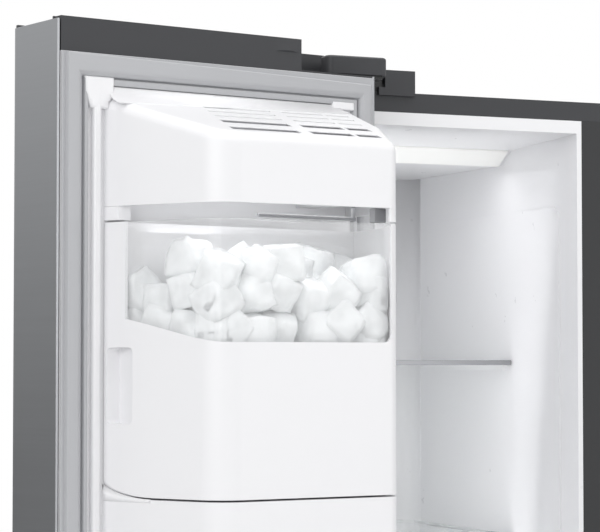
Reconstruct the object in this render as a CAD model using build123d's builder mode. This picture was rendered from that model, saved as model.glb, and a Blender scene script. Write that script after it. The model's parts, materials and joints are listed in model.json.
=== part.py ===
from build123d import *
import os
from collections import namedtuple

os.makedirs("parts", exist_ok=True)

# Side by side refrigerator with an ice maker in the freezer door, in millimetres.
# X runs to the viewer's right, Y to the back and Z up. The origin is on the floor under the middle
# of the cabinet. The doors are drawn closed and swung open about their pins as they are written.

# Clearances
running_gap = 0.3
shaft_gap = 0.05
sliding_gap = 2.0

# Cabinet
cabinet_width = 912.0
cabinet_depth = 610.0
cabinet_top = 1744.0
case_sheet = 1.0
top_strip = 22.6
side_strip = 22.0
bottom_strip = 62.0
rim_height = 15.0
rim_sheet = 2.0
side_wall = 34.0
mullion_width = 48.0
mullion_rim = 6.5
freezer_width = 332.0
liner_wall = 3.0
compartment_floor = 140.0
base_height = 60.0
base_sheet = 2.5

# Machine room at the bottom of the back
machine_depth = 200.0
machine_height = 190.0
machine_wall = 20.0

# Compartments, measured back from the cabinet's front plane
freezer_depth = 440.0
evaporator_space = 90.0
fridge_depth = 520.0
duct_sheet = 4.0
lamp_setback = 160.0
lamp_run = 24.0
lamp_drop = 17.0
ceiling_fall = 6.4
emboss = 2.0
emboss_front = 41.0
emboss_back = 390.0
emboss_top = 1622.0
emboss_bottom = 860.0
emboss_round = 14.0

# Doors
door_rise = 36.0
door_bottom = 68.0
door_thickness = 96.0
gasket_space = 10.0
freezer_door_width = 396.0
door_gap = 4.0
open_angle = 168.0
pivot_inset = 22.0
pivot_forward = 57.0
pin_radius = 6.0
skin_sheet = 1.2
hem_width = 2.8
hem_gap = 1.4
hem_depth = 10.0
corner_radius = 11.0
cap_height = 35.0
bottom_cap_height = 22.0
bush_radius = 14.0
bush_depth = 28.0
notch_width = 98.0
notch_wall = 6.0
notch_floor = 2.0
bump_near = 4.0
bump_width = 30.0
bump_height = 13.5
bump_sheet = 1.6
bump_taper = 8.0
cap_dish = 3.0
cap_rim = 12.0
door_plate = 3.0

# Gasket
gasket_height = 9.0
gasket_lip = 6.0
gasket_base = 2.5
gasket_edge = 4.4
gasket_rise = 1.0
bulb_width = 17.6
bulb_edge = 6.4
bulb_hinge_edge = 15.0
lip_width = 4.5
lip_groove = 4.7
bulb_round = 4.0

# Vertical ribs of the door liners, measured from the free edge or the hinge edge
rib_free = 39.0
rib_hinge = 38.0
rib_width = 9.0
rib_height = 7.0
rib_end = 35.0
rib_foot = 56.0
rib_round = 3.0
plate_seam = 0.2

# Ice maker pod on the freezer door: shares one plan outline from top to bottom
pod_free = 43.0
pod_bend = 65.0
pod_bend_reach = 38.0
pod_shoulder = 104.0
pod_shoulder_reach = 138.0
pod_nose = 308.0
pod_reach = 152.0
pod_cheek = 345.0
pod_cheek_reach = 82.0
pod_hinge = 37.0
pod_hinge_root = 10.0
pod_rounds = (0, 600.0, 40.0, 12.0, 60.0, 8.0, 0)
pod_wall = 3.0
housing_drop = 35.0
housing_height = 119.0
roof_fall = 52.2
roof_slope = 0.33
roof_sheet = 1.2
roof_round = 13.0
pod_gap = 16.0
bucket_height = 273.0
bucket_back = 14.0
bucket_skirt = 1.0
bucket_round = 20.0
window_root = 28.0
window_right = 301.0
window_turn = 99.0
window_drop = 120.0
window_left_drop = 82.0
window_round = 40.0
ice_level = 35.0
ice_rest = 84.0
seam_gap = 2.0
grip_low = 72.0
grip_height = 76.0
grip_depth = 5.0
grip_root = 4.8
grip_width = 32.6
grip_round = 5.0

# Dispenser on the outside of the freezer door
dispenser_width = 190.0
dispenser_height = 270.0
dispenser_drop = 97.0
dispenser_foot = 30.0
dispenser_depth = 81.0
dispenser_wall = 3.0
bezel = 9.0
bezel_sheet = 2.0
panel_height = 120.0

# Shelves, drawers and bins
shelf_setback = 155.0
shelf_glass = 4.0
trim_depth = 14.0
trim_height = 6.0
freezer_shelves = (800.0, 1010.0, 1220.0, 1434.5)
fridge_shelves = (800.0, 1030.0, 1250.0, 1470.0)
ledge_width = 9.0
ledge_height = 8.0
drawer_wall = 3.0
drawer_floors = (290.0, 545.0)
drawer_height = 235.0
drawer_back_gap = 10.0
lip_inset = 40.0
lip_reach = 14.0
lip_height = 10.0
freezer_bins = (150.0, 400.0, 650.0)
fridge_bins = (150.0, 490.0, 830.0, 1200.0)
bin_height = 120.0
bin_reach = 105.0
bin_straight = 60.0
bin_hinge_cut = 21.0
bin_free_cut = 30.0
bin_rounds = (0, 20.0, 14.0, 14.0, 20.0, 0)
bin_wall = 3.0

# Feet, rollers and machinery
foot_radius = 22.0
foot_height = 10.0
foot_inset = 66.0
foot_setback = 55.0
stem_radius = 6.0
collar_radius = 11.0
roller_radius = 26.0
roller_width = 24.0
fan_radius = 55.0
fan_shaft = 3.0
fan_hub = 16.0
fan_thickness = 14.0
fan_standoff = 20.0
blade_count = 5
blade_round = 6.0

# Handles
handle_radius = 11.0
handle_inset = 46.0
handle_reach = 50.0
handle_low = 560.0
handle_high = 1360.0
post_radius = 8.0
post_inset = 60.0

# Places worked out from the sizes above
x_left = -cabinet_width / 2
x_right = cabinet_width / 2
y_front = -cabinet_depth / 2
y_back = cabinet_depth / 2
freezer_x = (x_left + side_wall, x_left + side_wall + freezer_width)
fridge_x = (freezer_x[1] + mullion_width, x_right - side_wall)
strip_low = cabinet_top - top_strip
ceiling = strip_low - rim_height
door_top = cabinet_top + door_rise
cap_low = door_top - cap_height
notch_z = cap_low + notch_floor
door_inner = y_front - gasket_space
door_outer = door_inner - door_thickness
pivot_y = y_front - pivot_forward
base_top = base_height + base_sheet
machine_y = y_back - machine_depth
step_top = base_top + machine_height + machine_wall
step_y = machine_y - machine_wall
freezer_back = y_front + freezer_depth
evaporator_back = freezer_back + duct_sheet + evaporator_space
fridge_back = y_front + fridge_depth
lamp_y = y_front + lamp_setback
lamp_top = ceiling - ceiling_fall
lamp_low = lamp_top - lamp_drop
shelf_front = y_front + shelf_setback
housing_back_top = cap_low - housing_drop
housing_front_top = housing_back_top - roof_fall
housing_low = housing_back_top - housing_height
bucket_high = housing_low - pod_gap
bucket_low = bucket_high - bucket_height
pod_top = bucket_low - seam_gap
dispenser_high = pod_top - dispenser_drop - dispenser_wall
dispenser_low = dispenser_high - dispenser_height
pod_foot = dispenser_low - dispenser_foot

Door = namedtuple("Door", "hinge_x way width pivot_x pose")


def swung(pivot_x, angle):
    """The place of a door that is turned about its pin."""
    pin = Location((pivot_x, pivot_y, 0))
    return pin * Location((0, 0, 0), (0, 0, angle)) * pin.inverse()


freezer_door = Door(x_left, 1, freezer_door_width, x_left + pivot_inset,
                    swung(x_left + pivot_inset, -open_angle))
fridge_door = Door(x_right, -1, cabinet_width - freezer_door_width - door_gap,
                   x_right - pivot_inset, swung(x_right - pivot_inset, open_angle))
freezer_free = x_left + freezer_door_width


def across(door, near, far):
    """Limits in X for two distances from a door's hinge edge."""
    ends = (door.hinge_x + door.way * near, door.hinge_x + door.way * far)
    return (min(ends), max(ends))


def facing(y):
    """A sketch plane seen from the front: X to the right and Z up."""
    return Plane(origin=(0, y, 0), x_dir=(1, 0, 0), z_dir=(0, -1, 0))


def sideways(x):
    """A sketch plane seen from the right: Y and Z."""
    return Plane(origin=(x, 0, 0), x_dir=(0, 1, 0), z_dir=(1, 0, 0))


def pane(a, b, mode=Mode.ADD):
    """A rectangle between two pairs of limits in the sketch being drawn."""
    with Locations(((a[0] + a[1]) / 2, (b[0] + b[1]) / 2)):
        Rectangle(a[1] - a[0], b[1] - b[0], mode=mode)


def block(x, y, z, mode=Mode.ADD):
    """A block between three pairs of limits in the part being built."""
    with Locations(((x[0] + x[1]) / 2, (y[0] + y[1]) / 2, (z[0] + z[1]) / 2)):
        Box(x[1] - x[0], y[1] - y[0], z[1] - z[0], mode=mode)


def rod(start, axis, length, radius, mode=Mode.ADD):
    """A round bar from a start point along an axis in the part being built."""
    with BuildSketch(Plane(origin=start, z_dir=axis)) as section:
        Circle(radius)
    extrude(section.sketch, amount=length, mode=mode)


def keep(piece, label, pose=Location()):
    """Label a finished piece, put it in its rest pose and write it."""
    placed = piece.part.moved(pose)
    placed.label = label
    export_step(placed, f"parts/{label}.step")


# Compartments: side outlines of the two hollows, then their liners
def hollow_outline(back):
    """Side outline of a compartment: a step over the machine room and a lamp shelf in the ceiling."""
    return [(y_front, compartment_floor), (step_y, compartment_floor), (step_y, step_top),
            (back, step_top), (back, lamp_low), (lamp_y + lamp_run, lamp_low),
            (lamp_y, lamp_top), (y_front, ceiling)]


freezer_outline = hollow_outline(evaporator_back)
fridge_outline = hollow_outline(fridge_back)


def liner_block(x, outline, mode=Mode.ADD):
    """The outside of a liner, one wall larger than its hollow and open at the front plane."""
    with BuildSketch(sideways(x[0] - liner_wall)) as side:
        with BuildLine():
            Polyline(*outline, close=True)
        make_face()
        offset(amount=liner_wall, kind=Kind.INTERSECTION)
        pane((y_front - 2 * liner_wall, y_front), (0, door_top), mode=Mode.SUBTRACT)
    extrude(side.sketch, amount=x[1] - x[0] + 2 * liner_wall, mode=mode)


def liner(x, outline, rim_x, shelves):
    """A moulded compartment liner with its front rim and the ledges for shelves and drawers."""
    liner_block(x, outline)
    with BuildSketch(sideways(x[0])) as side:
        with BuildLine():
            Polyline(*outline, close=True)
        make_face()
    extrude(side.sketch, amount=x[1] - x[0], mode=Mode.SUBTRACT)
    with BuildSketch(facing(y_front)) as rim:
        pane(rim_x, (base_top + bottom_strip, strip_low))
        pane(x, (compartment_floor, ceiling), mode=Mode.SUBTRACT)
    extrude(rim.sketch, amount=-rim_sheet)
    heights = [z - shelf_glass / 2 for z in shelves] + [z - running_gap for z in drawer_floors]
    for top in heights:
        for side in ((x[0], x[0] + ledge_width), (x[1] - ledge_width, x[1])):
            block(side, (shelf_front + trim_depth, outline[2][0] - liner_wall),
                  (top - ledge_height, top))


mullion_x = (freezer_x[1] + mullion_rim, fridge_x[0] - mullion_rim)

with BuildPart() as freezer_liner:
    liner(freezer_x, freezer_outline, (x_left + side_strip, mullion_x[0]), freezer_shelves)
    with BuildSketch(sideways(freezer_x[1] - emboss)):
        pane((y_front + emboss_front, y_front + emboss_back), (emboss_bottom, emboss_top))
        fillet(vertices(), emboss_round)
    extrude(amount=emboss)
keep(freezer_liner, "freezer_liner")

with BuildPart() as fridge_liner:
    liner(fridge_x, fridge_outline, (mullion_x[1], x_right - side_strip), fridge_shelves)
keep(fridge_liner, "fridge_liner")

with BuildPart() as mullion_cover:
    block(mullion_x, (y_front, y_front + rim_sheet), (base_top + bottom_strip, strip_low))
    fillet(mullion_cover.edges().filter_by(Axis.Z).group_by(Axis.Y)[0], rim_sheet / 2)
keep(mullion_cover, "mullion_cover")


# Cabinet shell
with BuildPart() as outer_case:
    block((x_left, x_right), (y_front, y_back - case_sheet), (base_top, cabinet_top))
    block((x_left + case_sheet, x_right - case_sheet), (y_front + case_sheet, y_back),
          (base_top - case_sheet, cabinet_top - case_sheet), mode=Mode.SUBTRACT)
    block((x_left + side_strip, x_right - side_strip), (y_front - case_sheet, y_front + case_sheet),
          (base_top + bottom_strip, strip_low), mode=Mode.SUBTRACT)
keep(outer_case, "outer_case")

with BuildPart() as back_panel:
    block((x_left, x_right), (y_back - case_sheet, y_back),
          (base_top + machine_height, cabinet_top))
keep(back_panel, "back_panel")

with BuildPart() as cabinet_foam:
    block((x_left + case_sheet, x_right - case_sheet), (y_front + rim_sheet, y_back - case_sheet),
          (base_top, cabinet_top - case_sheet))
    block((x_left, x_right), (machine_y, y_back), (0, base_top + machine_height), mode=Mode.SUBTRACT)
    liner_block(freezer_x, freezer_outline, mode=Mode.SUBTRACT)
    liner_block(fridge_x, fridge_outline, mode=Mode.SUBTRACT)
keep(cabinet_foam, "cabinet_foam")

# Chassis: a plate with a bored boss for each foot and ears for the rollers
foot_y = y_front + foot_setback
feet_x = (x_left + foot_inset, x_right - foot_inset)
roller_y = y_back - foot_setback
ear_sheet = 4.0
ear_depth = 30.0
ear_low = roller_radius - ear_depth / 2
roller_half = roller_width / 2

with BuildPart() as base_plate:
    block((x_left + case_sheet, x_right - case_sheet), (y_front + case_sheet, y_back - case_sheet),
          (base_height, base_top))
    for x in feet_x:
        rod((x, foot_y, base_height), (0, 0, 1), base_sheet, stem_radius + shaft_gap, Mode.SUBTRACT)
    for x in feet_x:
        for side in (-1, 1):
            inner = x + side * (roller_half + running_gap)
            outer = inner + side * ear_sheet
            block((min(inner, outer), max(inner, outer)),
                  (roller_y - ear_depth / 2, roller_y + ear_depth / 2), (ear_low, base_height))
        rod((x - roller_width, roller_y, roller_radius), (1, 0, 0), 2 * roller_width,
            stem_radius + shaft_gap, Mode.SUBTRACT)
keep(base_plate, "base_plate")

for x, label in zip(feet_x, ("left_foot", "right_foot")):
    with BuildPart() as foot:
        rod((x, foot_y, 0), (0, 0, 1), foot_height, foot_radius)
        chamfer(foot.edges().group_by(Axis.Z)[-1], foot_height / 4)
        rod((x, foot_y, foot_height), (0, 0, 1), base_height - running_gap - foot_height,
            collar_radius)
        rod((x, foot_y, base_height - running_gap), (0, 0, 1), base_sheet, stem_radius)
    keep(foot, label)

with BuildPart() as rear_rollers:
    for x in feet_x:
        rod((x - roller_half, roller_y, roller_radius), (1, 0, 0), roller_width, roller_radius)
        axle = roller_half + running_gap + ear_sheet
        rod((x - axle, roller_y, roller_radius), (1, 0, 0), 2 * axle, stem_radius)
keep(rear_rollers, "rear_rollers")

grille_x = (x_left + 2 * foot_inset / 3, x_right - 2 * foot_inset / 3)
grille_low = 10.0
grille_sheet = 6.0
slot_height = 5.0
slot_rows = 4
slot_length = 86.0
slot_pitch = 98.0

with BuildPart() as kick_grille:
    block(grille_x, (y_front + grille_sheet, y_front + 2 * grille_sheet), (grille_low, base_height))
    with BuildSketch(facing(y_front)):
        count = int((grille_x[1] - grille_x[0]) // slot_pitch)
        with Locations((0, (grille_low + base_height) / 2)):
            with GridLocations(slot_pitch, 2 * slot_height, count, slot_rows):
                Rectangle(slot_length, slot_height)
    extrude(amount=-3 * grille_sheet, mode=Mode.SUBTRACT)
keep(kick_grille, "kick_grille")


# Lamp covers on the ceiling shelf, a slanted lens in front of a flat tray
lamp_sheet = 2.0
lamp_margin = 5.0
with BuildPart() as lamp_covers:
    for x in (freezer_x, fridge_x):
        with BuildSketch(sideways(x[0] + lamp_margin)):
            with BuildLine():
                Polyline((lamp_y, lamp_top), (lamp_y + lamp_run, lamp_low),
                         (lamp_y + lamp_run, lamp_low - lamp_sheet), (lamp_y, lamp_top - lamp_sheet),
                         close=True)
            make_face()
        extrude(amount=x[1] - x[0] - 2 * lamp_margin)
keep(lamp_covers, "lamp_covers")


# Air duct covers at the back of both compartments
vent_width = 120.0
vent_height = 12.0
vent_pitch = 24.0
vent_rise = 100.0
vent_rows = 3
fan_z = 1060.0
freezer_mid = (freezer_x[0] + freezer_x[1]) / 2
fridge_mid = (fridge_x[0] + fridge_x[1]) / 2
fan_y = freezer_back + duct_sheet + fan_standoff

with BuildPart() as freezer_duct_cover:
    block((freezer_x[0], freezer_x[1]), (freezer_back, freezer_back + duct_sheet),
          (step_top, lamp_low))
    with BuildSketch(facing(freezer_back)):
        for z in freezer_shelves:
            with Locations((freezer_mid, z + vent_rise)):
                with GridLocations(vent_width, vent_pitch, 1, vent_rows):
                    SlotOverall(vent_width, vent_height)
    extrude(amount=-2 * duct_sheet, mode=Mode.SUBTRACT)
    boss = (freezer_mid, freezer_back + duct_sheet, fan_z)
    rod(boss, (0, 1, 0), fan_standoff - running_gap, fan_hub)
    rod(boss, (0, 1, 0), fan_standoff + fan_thickness, fan_shaft)
keep(freezer_duct_cover, "freezer_duct_cover")

tower_width = 150.0
tower_depth = 24.0
tower_end = 20.0
with BuildPart() as fridge_duct_cover:
    block((fridge_mid - tower_width / 2, fridge_mid + tower_width / 2),
          (fridge_back - tower_depth, fridge_back),
          (fridge_shelves[0] + tower_end, lamp_low - tower_end))
    fillet(fridge_duct_cover.edges().filter_by(Axis.Z).group_by(Axis.Y)[0], tower_depth / 2)
    with BuildSketch(facing(fridge_back - tower_depth)):
        for z in fridge_shelves:
            with Locations((fridge_mid, z + vent_rise)):
                with GridLocations(vent_width, vent_pitch, 1, vent_rows):
                    SlotOverall(tower_width / 2, vent_height)
    extrude(amount=-tower_depth / 2, mode=Mode.SUBTRACT)
keep(fridge_duct_cover, "fridge_duct_cover")


def fan(centre, axis):
    """A hub with a bore and a ring of flat blades, turning about an axis."""
    plane = Plane(origin=centre, z_dir=axis)
    with BuildSketch(plane) as hub:
        Circle(fan_hub)
    extrude(hub.sketch, amount=fan_thickness)
    with BuildSketch(plane) as blades:
        with PolarLocations((fan_hub + fan_radius) / 2, blade_count):
            RectangleRounded(fan_radius - fan_hub + blade_round, 1.6 * fan_hub, blade_round)
    extrude(blades.sketch, amount=fan_thickness / 3)
    rod(centre, axis, fan_thickness, fan_shaft + shaft_gap, Mode.SUBTRACT)


with BuildPart() as evaporator_fan:
    fan((freezer_mid, fan_y, fan_z), (0, 1, 0))
keep(evaporator_fan, "evaporator_fan")

fin_count = 16
fin_sheet = 1.0
fin_pitch = 16.0
tube_radius = 4.0
evaporator_low = 420.0
evaporator_height = 460.0
evaporator_depth = 64.0
evaporator_gap = 6.0
tube_rows = 6
tube_pitch = evaporator_height / tube_rows
tube_inset = 16.0
bracket_half = 60.0
bracket_sheet = 4.0
tube_run = fin_count * fin_pitch

with BuildPart() as evaporator:
    fin_y = (evaporator_back - evaporator_gap - evaporator_depth, evaporator_back - evaporator_gap)
    top = evaporator_low + evaporator_height
    for i in range(fin_count):
        x = freezer_mid + (i - (fin_count - 1) / 2) * fin_pitch
        block((x - fin_sheet / 2, x + fin_sheet / 2), fin_y, (evaporator_low, top))
    for row in range(tube_rows):
        for y in (fin_y[0] + tube_inset, fin_y[1] - tube_inset):
            z = evaporator_low + (row + 0.5) * tube_pitch
            rod((freezer_mid - tube_run / 2, y, z), (1, 0, 0), tube_run, tube_radius)
    block((freezer_mid - bracket_half, freezer_mid + bracket_half), (fin_y[0], evaporator_back),
          (top, top + bracket_sheet))
keep(evaporator, "evaporator")


# Machine room
compressor_x = x_left + 210.0
compressor_radius = 74.0
compressor_height = 150.0
compressor_lift = 12.0
compressor_foot = 13.0
compressor_feet = (130.0, 90.0)
plate_half = (78.0, 58.0)
machine_mid = (machine_y + y_back) / 2
cooling_z = base_top + machine_height / 2
cooling_fan_x = -20.0
condenser_x = 90.0
condenser_half = 60.0
condenser_height = 160.0
condenser_rows = 3
stand_half = 20.0

with BuildPart() as compressor:
    foot_z = base_top + compressor_lift
    rod((compressor_x, machine_mid, foot_z), (0, 0, 1), compressor_height, compressor_radius)
    fillet(compressor.edges().group_by(Axis.Z)[-1], compressor_radius / 2)
    fillet(compressor.edges().group_by(Axis.Z)[0], compressor_radius / 6)
    with BuildSketch(Plane.XY.offset(base_top)):
        with Locations((compressor_x, machine_mid)):
            with GridLocations(*compressor_feet, 2, 2):
                Circle(compressor_foot)
    extrude(amount=compressor_lift)
    block((compressor_x - plate_half[0], compressor_x + plate_half[0]),
          (machine_mid - plate_half[1], machine_mid + plate_half[1]), (foot_z, foot_z + bracket_sheet))
keep(compressor, "compressor")

with BuildPart() as condenser:
    for i in range(fin_count):
        x = condenser_x + i * fin_pitch
        block((x, x + fin_sheet), (machine_mid - condenser_half, machine_mid + condenser_half),
              (base_top, base_top + condenser_height))
    for row in range(condenser_rows):
        z = base_top + (row + 0.5) * condenser_height / condenser_rows
        for y in (machine_mid - condenser_half / 2, machine_mid + condenser_half / 2):
            rod((condenser_x - tube_radius, y, z), (1, 0, 0), tube_run, tube_radius)
    stand_x = cooling_fan_x + fan_thickness + running_gap
    stand_y = (machine_mid - stand_half, machine_mid + stand_half)
    block((stand_x, stand_x + bracket_sheet), stand_y, (base_top, cooling_z + stand_half))
    block((stand_x, condenser_x + fin_sheet), stand_y, (base_top, base_top + bracket_sheet))
    rod((stand_x, machine_mid, cooling_z), (-1, 0, 0), fan_thickness + running_gap, fan_shaft)
keep(condenser, "condenser")

with BuildPart() as condenser_fan:
    fan((cooling_fan_x, machine_mid, cooling_z), (1, 0, 0))
keep(condenser_fan, "condenser_fan")

inlet_x = x_right - 60.0
inlet_radius = 13.2
inlet_length = 15.0
inlet_z = base_top + 90.0
inlet_clear = 10.0
valve_half = 24.0
valve_depth = 58.0
vent_places = (-300.0, 0.0)
vent_columns = 2
cover_rows = 6

with BuildPart() as machine_cover:
    block((x_left, x_right), (y_back - case_sheet, y_back), (base_top, base_top + machine_height))
    with BuildSketch(facing(y_back)):
        for x in vent_places:
            with Locations((x, cooling_z)):
                with GridLocations(slot_pitch, 3 * slot_height, vent_columns, cover_rows):
                    Rectangle(slot_length, slot_height)
        with Locations((inlet_x, inlet_z)):
            Circle(inlet_radius + inlet_clear)
    extrude(amount=2 * case_sheet, mode=Mode.SUBTRACT)
keep(machine_cover, "machine_cover")

with BuildPart() as water_valve:
    inside = y_back - case_sheet
    wide = (inlet_x - valve_half, inlet_x + valve_half)
    block(wide, (inside - valve_depth, inside), (inlet_z - valve_half, inlet_z + valve_half))
    rod((inlet_x, inside, inlet_z), (0, 1, 0), inlet_length + case_sheet, inlet_radius)
    block((inlet_x - valve_half / 2, inlet_x + valve_half / 2), (inside - valve_depth, inside
          - valve_half), (base_top, inlet_z - valve_half))
keep(water_valve, "water_valve")


# Hinges: a plate on the cabinet's top with a pin down into the door, and a bracket below with a pin up
nose_front = 70.0
nose_near = 10.0
nose_far = 84.0
arm_near = 50.0
cover_far = 150.0
cover_back = 100.0
plate_lift = 5.0
plate_sheet = 4.0
plate_inset = 4.0
nose_rise = 29.0
nose_round = 8.0
cover_rise = 25.0
cover_lip = 4.0
lip_near = 104.0
tab_far = 112.0
tab_rise = 16.0
tab_depth = 14.0
lip_drop = 4.0
plate_low = cabinet_top + plate_lift
plate_high = plate_low + plate_sheet
pin_length = 26.0
screw_radius = 4.0
screw_spots = (75.0, 125.0)
foot_near = 14.0
foot_far = 60.0


def nose_outline(door, inset):
    """Plan of the arm that reaches over the door's pin, from the cabinet's front plane."""
    points = [(arm_near + inset, 0), (nose_near + inset, pivot_forward - pin_radius - inset),
              (nose_near + inset, nose_front - inset), (nose_far - inset, nose_front - inset),
              (nose_far - inset, 0)]
    return [(door.hinge_x + door.way * u, y_front - v) for u, v in points]


def screw_places(door):
    """Plan places of the two screws that hold a hinge plate to the cabinet's top."""
    return [(door.hinge_x + door.way * u, y_front + cover_back / 2) for u in screw_spots]


with BuildPart() as door_hinges:
    for door in (freezer_door, fridge_door):
        with BuildSketch(Plane.XY.offset(plate_low)):
            with BuildLine():
                FilletPolyline(*nose_outline(door, plate_inset), close=True,
                               radius=(0, nose_round / 2, nose_round / 2, nose_round / 2, 0))
            make_face()
        extrude(amount=plate_sheet)
        block(across(door, arm_near + plate_inset, cover_far - 2 * plate_inset),
              (y_front, y_front + cover_back - 2 * plate_inset), (cabinet_top, plate_high))
        block(across(door, nose_far + sliding_gap, tab_far - sliding_gap),
              (y_front, y_front + tab_depth - sliding_gap), (plate_high, cabinet_top + tab_rise - sliding_gap))
        rod((door.pivot_x, pivot_y, plate_low), (0, 0, -1), pin_length, pin_radius)
        for x, y in screw_places(door):
            rod((x, y, cabinet_top), (0, 0, 1), plate_lift + plate_sheet, screw_radius, Mode.SUBTRACT)
        block(across(door, pivot_inset - foot_near, pivot_inset + foot_far),
              (pivot_y - foot_near, y_front + case_sheet), (base_height, base_top))
        rod((door.pivot_x, pivot_y, base_top), (0, 0, 1), pin_length, pin_radius)
keep(door_hinges, "door_hinges")

with BuildPart() as hinge_screws:
    for door in (freezer_door, fridge_door):
        for x, y in screw_places(door):
            rod((x, y, cabinet_top), (0, 0, 1), plate_lift + plate_sheet, screw_radius)
            rod((x, y, plate_high), (0, 0, 1), screw_radius, 2 * screw_radius)
keep(hinge_screws, "hinge_screws")

with BuildPart() as hinge_covers:
    for door in (freezer_door, fridge_door):
        with BuildSketch(Plane.XY.offset(plate_high)):
            with BuildLine():
                FilletPolyline(*nose_outline(door, 0), close=True,
                               radius=(0, nose_round, nose_round, nose_round, 0))
            make_face()
        extrude(amount=cabinet_top + nose_rise - plate_high)
        block(across(door, arm_near, cover_far), (y_front - cover_lip, y_front + cover_back),
              (cabinet_top, cabinet_top + cover_rise))
        block(across(door, lip_near, cover_far), (y_front - cover_lip, y_front),
              (cabinet_top - lip_drop, cabinet_top))
    fillet(hinge_covers.edges().filter_by(Axis.Z).filter_by(
        lambda e: abs(e.center().Y - y_front - cover_back) < 1), nose_round)
    fillet(hinge_covers.faces().filter_by(Axis.Z).group_by(Axis.Z)[-1].edges(), nose_round / 3)
    for door in (freezer_door, fridge_door):
        block(across(door, arm_near + plate_inset, cover_far - 2 * plate_inset),
              (y_front, y_front + cover_back - 2 * plate_inset), (cabinet_top, plate_high),
              mode=Mode.SUBTRACT)
        block(across(door, nose_near, nose_far), (y_front - cover_lip, y_front),
              (cabinet_top, plate_high), mode=Mode.SUBTRACT)
        for far, low in ((lip_near, cabinet_top), (tab_far, plate_low)):
            block(across(door, nose_far, far), (y_front - cover_lip, y_front + tab_depth),
                  (low, cabinet_top + tab_rise), mode=Mode.SUBTRACT)
        for x, y in screw_places(door):
            rod((x, y, plate_high), (0, 0, 1), screw_radius + sliding_gap / 2,
                2 * screw_radius + sliding_gap / 2, Mode.SUBTRACT)
keep(hinge_covers, "hinge_covers")


# Shelves
def shelf_limits(x, back):
    """Plan limits of a shelf between the side walls."""
    return (x[0] + sliding_gap + emboss, x[1] - sliding_gap - emboss), (shelf_front, back)


shelf_rows = ([(freezer_x, freezer_back - sliding_gap, z) for z in freezer_shelves]
              + [(fridge_x, fridge_back - tower_depth - sliding_gap, z) for z in fridge_shelves])

with BuildPart() as shelf_glasses:
    for x, back, z in shelf_rows:
        wide, deep = shelf_limits(x, back)
        block(wide, (deep[0] + trim_depth / 2, deep[1]), (z - shelf_glass / 2, z + shelf_glass / 2))
keep(shelf_glasses, "shelf_glasses")

with BuildPart() as shelf_trims:
    for x, back, z in shelf_rows:
        wide, deep = shelf_limits(x, back)
        block(wide, (deep[0], deep[0] + trim_depth), (z - trim_height / 2, z + trim_height / 2))
    fillet(shelf_trims.edges().filter_by(Axis.X), trim_height / 4)
    for x, back, z in shelf_rows:
        wide, deep = shelf_limits(x, back)
        block(wide, (deep[0] + trim_depth / 2, deep[1]), (z - shelf_glass / 2, z + shelf_glass / 2),
              mode=Mode.SUBTRACT)
keep(shelf_trims, "shelf_trims")


# Drawers
def drawer(x, back, floor):
    """An open box with a thick front and a hand hold along its top edge."""
    wide = (x[0] + sliding_gap + emboss, x[1] - sliding_gap - emboss)
    high = (floor, floor + drawer_height)
    block(wide, (shelf_front, back), high)
    block((wide[0] + drawer_wall, wide[1] - drawer_wall),
          (shelf_front + 2 * drawer_wall, back - drawer_wall), (floor + drawer_wall, high[1]),
          mode=Mode.SUBTRACT)
    block((wide[0] + lip_inset, wide[1] - lip_inset), (shelf_front - lip_reach, shelf_front),
          (high[1] - lip_height, high[1]))


drawer_sets = (("freezer", freezer_x, freezer_back - drawer_back_gap),
               ("fridge", fridge_x, fridge_back - tower_depth - drawer_back_gap))
for room, x, back in drawer_sets:
    for level, floor in zip(("lower", "upper"), drawer_floors):
        with BuildPart() as tub:
            drawer(x, back, floor)
        keep(tub, f"{room}_{level}_drawer")


# Doors
def notch(door):
    """Cut the pocket around the hinge pin out of a door's top corner, leaving its outer wall."""
    block(across(door, -1, notch_width), (door_outer + notch_wall, door_inner + 1),
          (notch_z, door_top + 1), mode=Mode.SUBTRACT)


def door_skin(door):
    """A steel wrap round the front and both sides, hemmed along the inner edges."""
    wide = across(door, 0, door.width)
    with BuildSketch(Plane.XY.offset(door_bottom)) as plan:
        pane(wide, (door_outer, door_inner))
        fillet(vertices().group_by(Axis.Y)[0], corner_radius)
        offset(amount=-skin_sheet, mode=Mode.SUBTRACT)
        pane((wide[0] + skin_sheet, wide[1] - skin_sheet), (door_inner - 2 * skin_sheet, door_inner),
             mode=Mode.SUBTRACT)
        for near in (0, door.width - hem_width):
            pane(across(door, near, near + hem_width), (door_inner - hem_depth, door_inner))
    extrude(plan.sketch, amount=door_top - door_bottom - cap_dish)
    notch(door)


def cap_block(door, z):
    """A cap that fills the wrap between two heights."""
    with BuildSketch(Plane.XY.offset(z[0])) as plan:
        wide = across(door, 0, door.width)
        pane(wide, (door_outer, door_inner))
        fillet(vertices().group_by(Axis.Y)[0], corner_radius)
        offset(amount=-skin_sheet)
        pane(across(door, hem_width, door.width - hem_width), (door_inner - hem_depth, door_inner))
        for near, far in ((0, hem_width), (door.width - hem_width - hem_gap, door.width)):
            pane(across(door, near, far), (door_inner - hem_depth, door_inner), mode=Mode.SUBTRACT)
    extrude(plan.sketch, amount=z[1] - z[0])


def top_cap(door):
    """The cap with its hinge notch and the bush for the upper pin."""
    cap_block(door, (cap_low, door_top))
    block(across(door, 0, door.width), (door_outer + cap_rim, door_inner - cap_rim),
          (door_top - cap_dish, door_top), mode=Mode.SUBTRACT)
    notch(door)
    rod((door.pivot_x, pivot_y, cap_low), (0, 0, -1), bush_depth, bush_radius)
    rod((door.pivot_x, pivot_y, notch_z), (0, 0, -1), bush_depth + notch_floor,
        pin_radius + shaft_gap, Mode.SUBTRACT)


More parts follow.
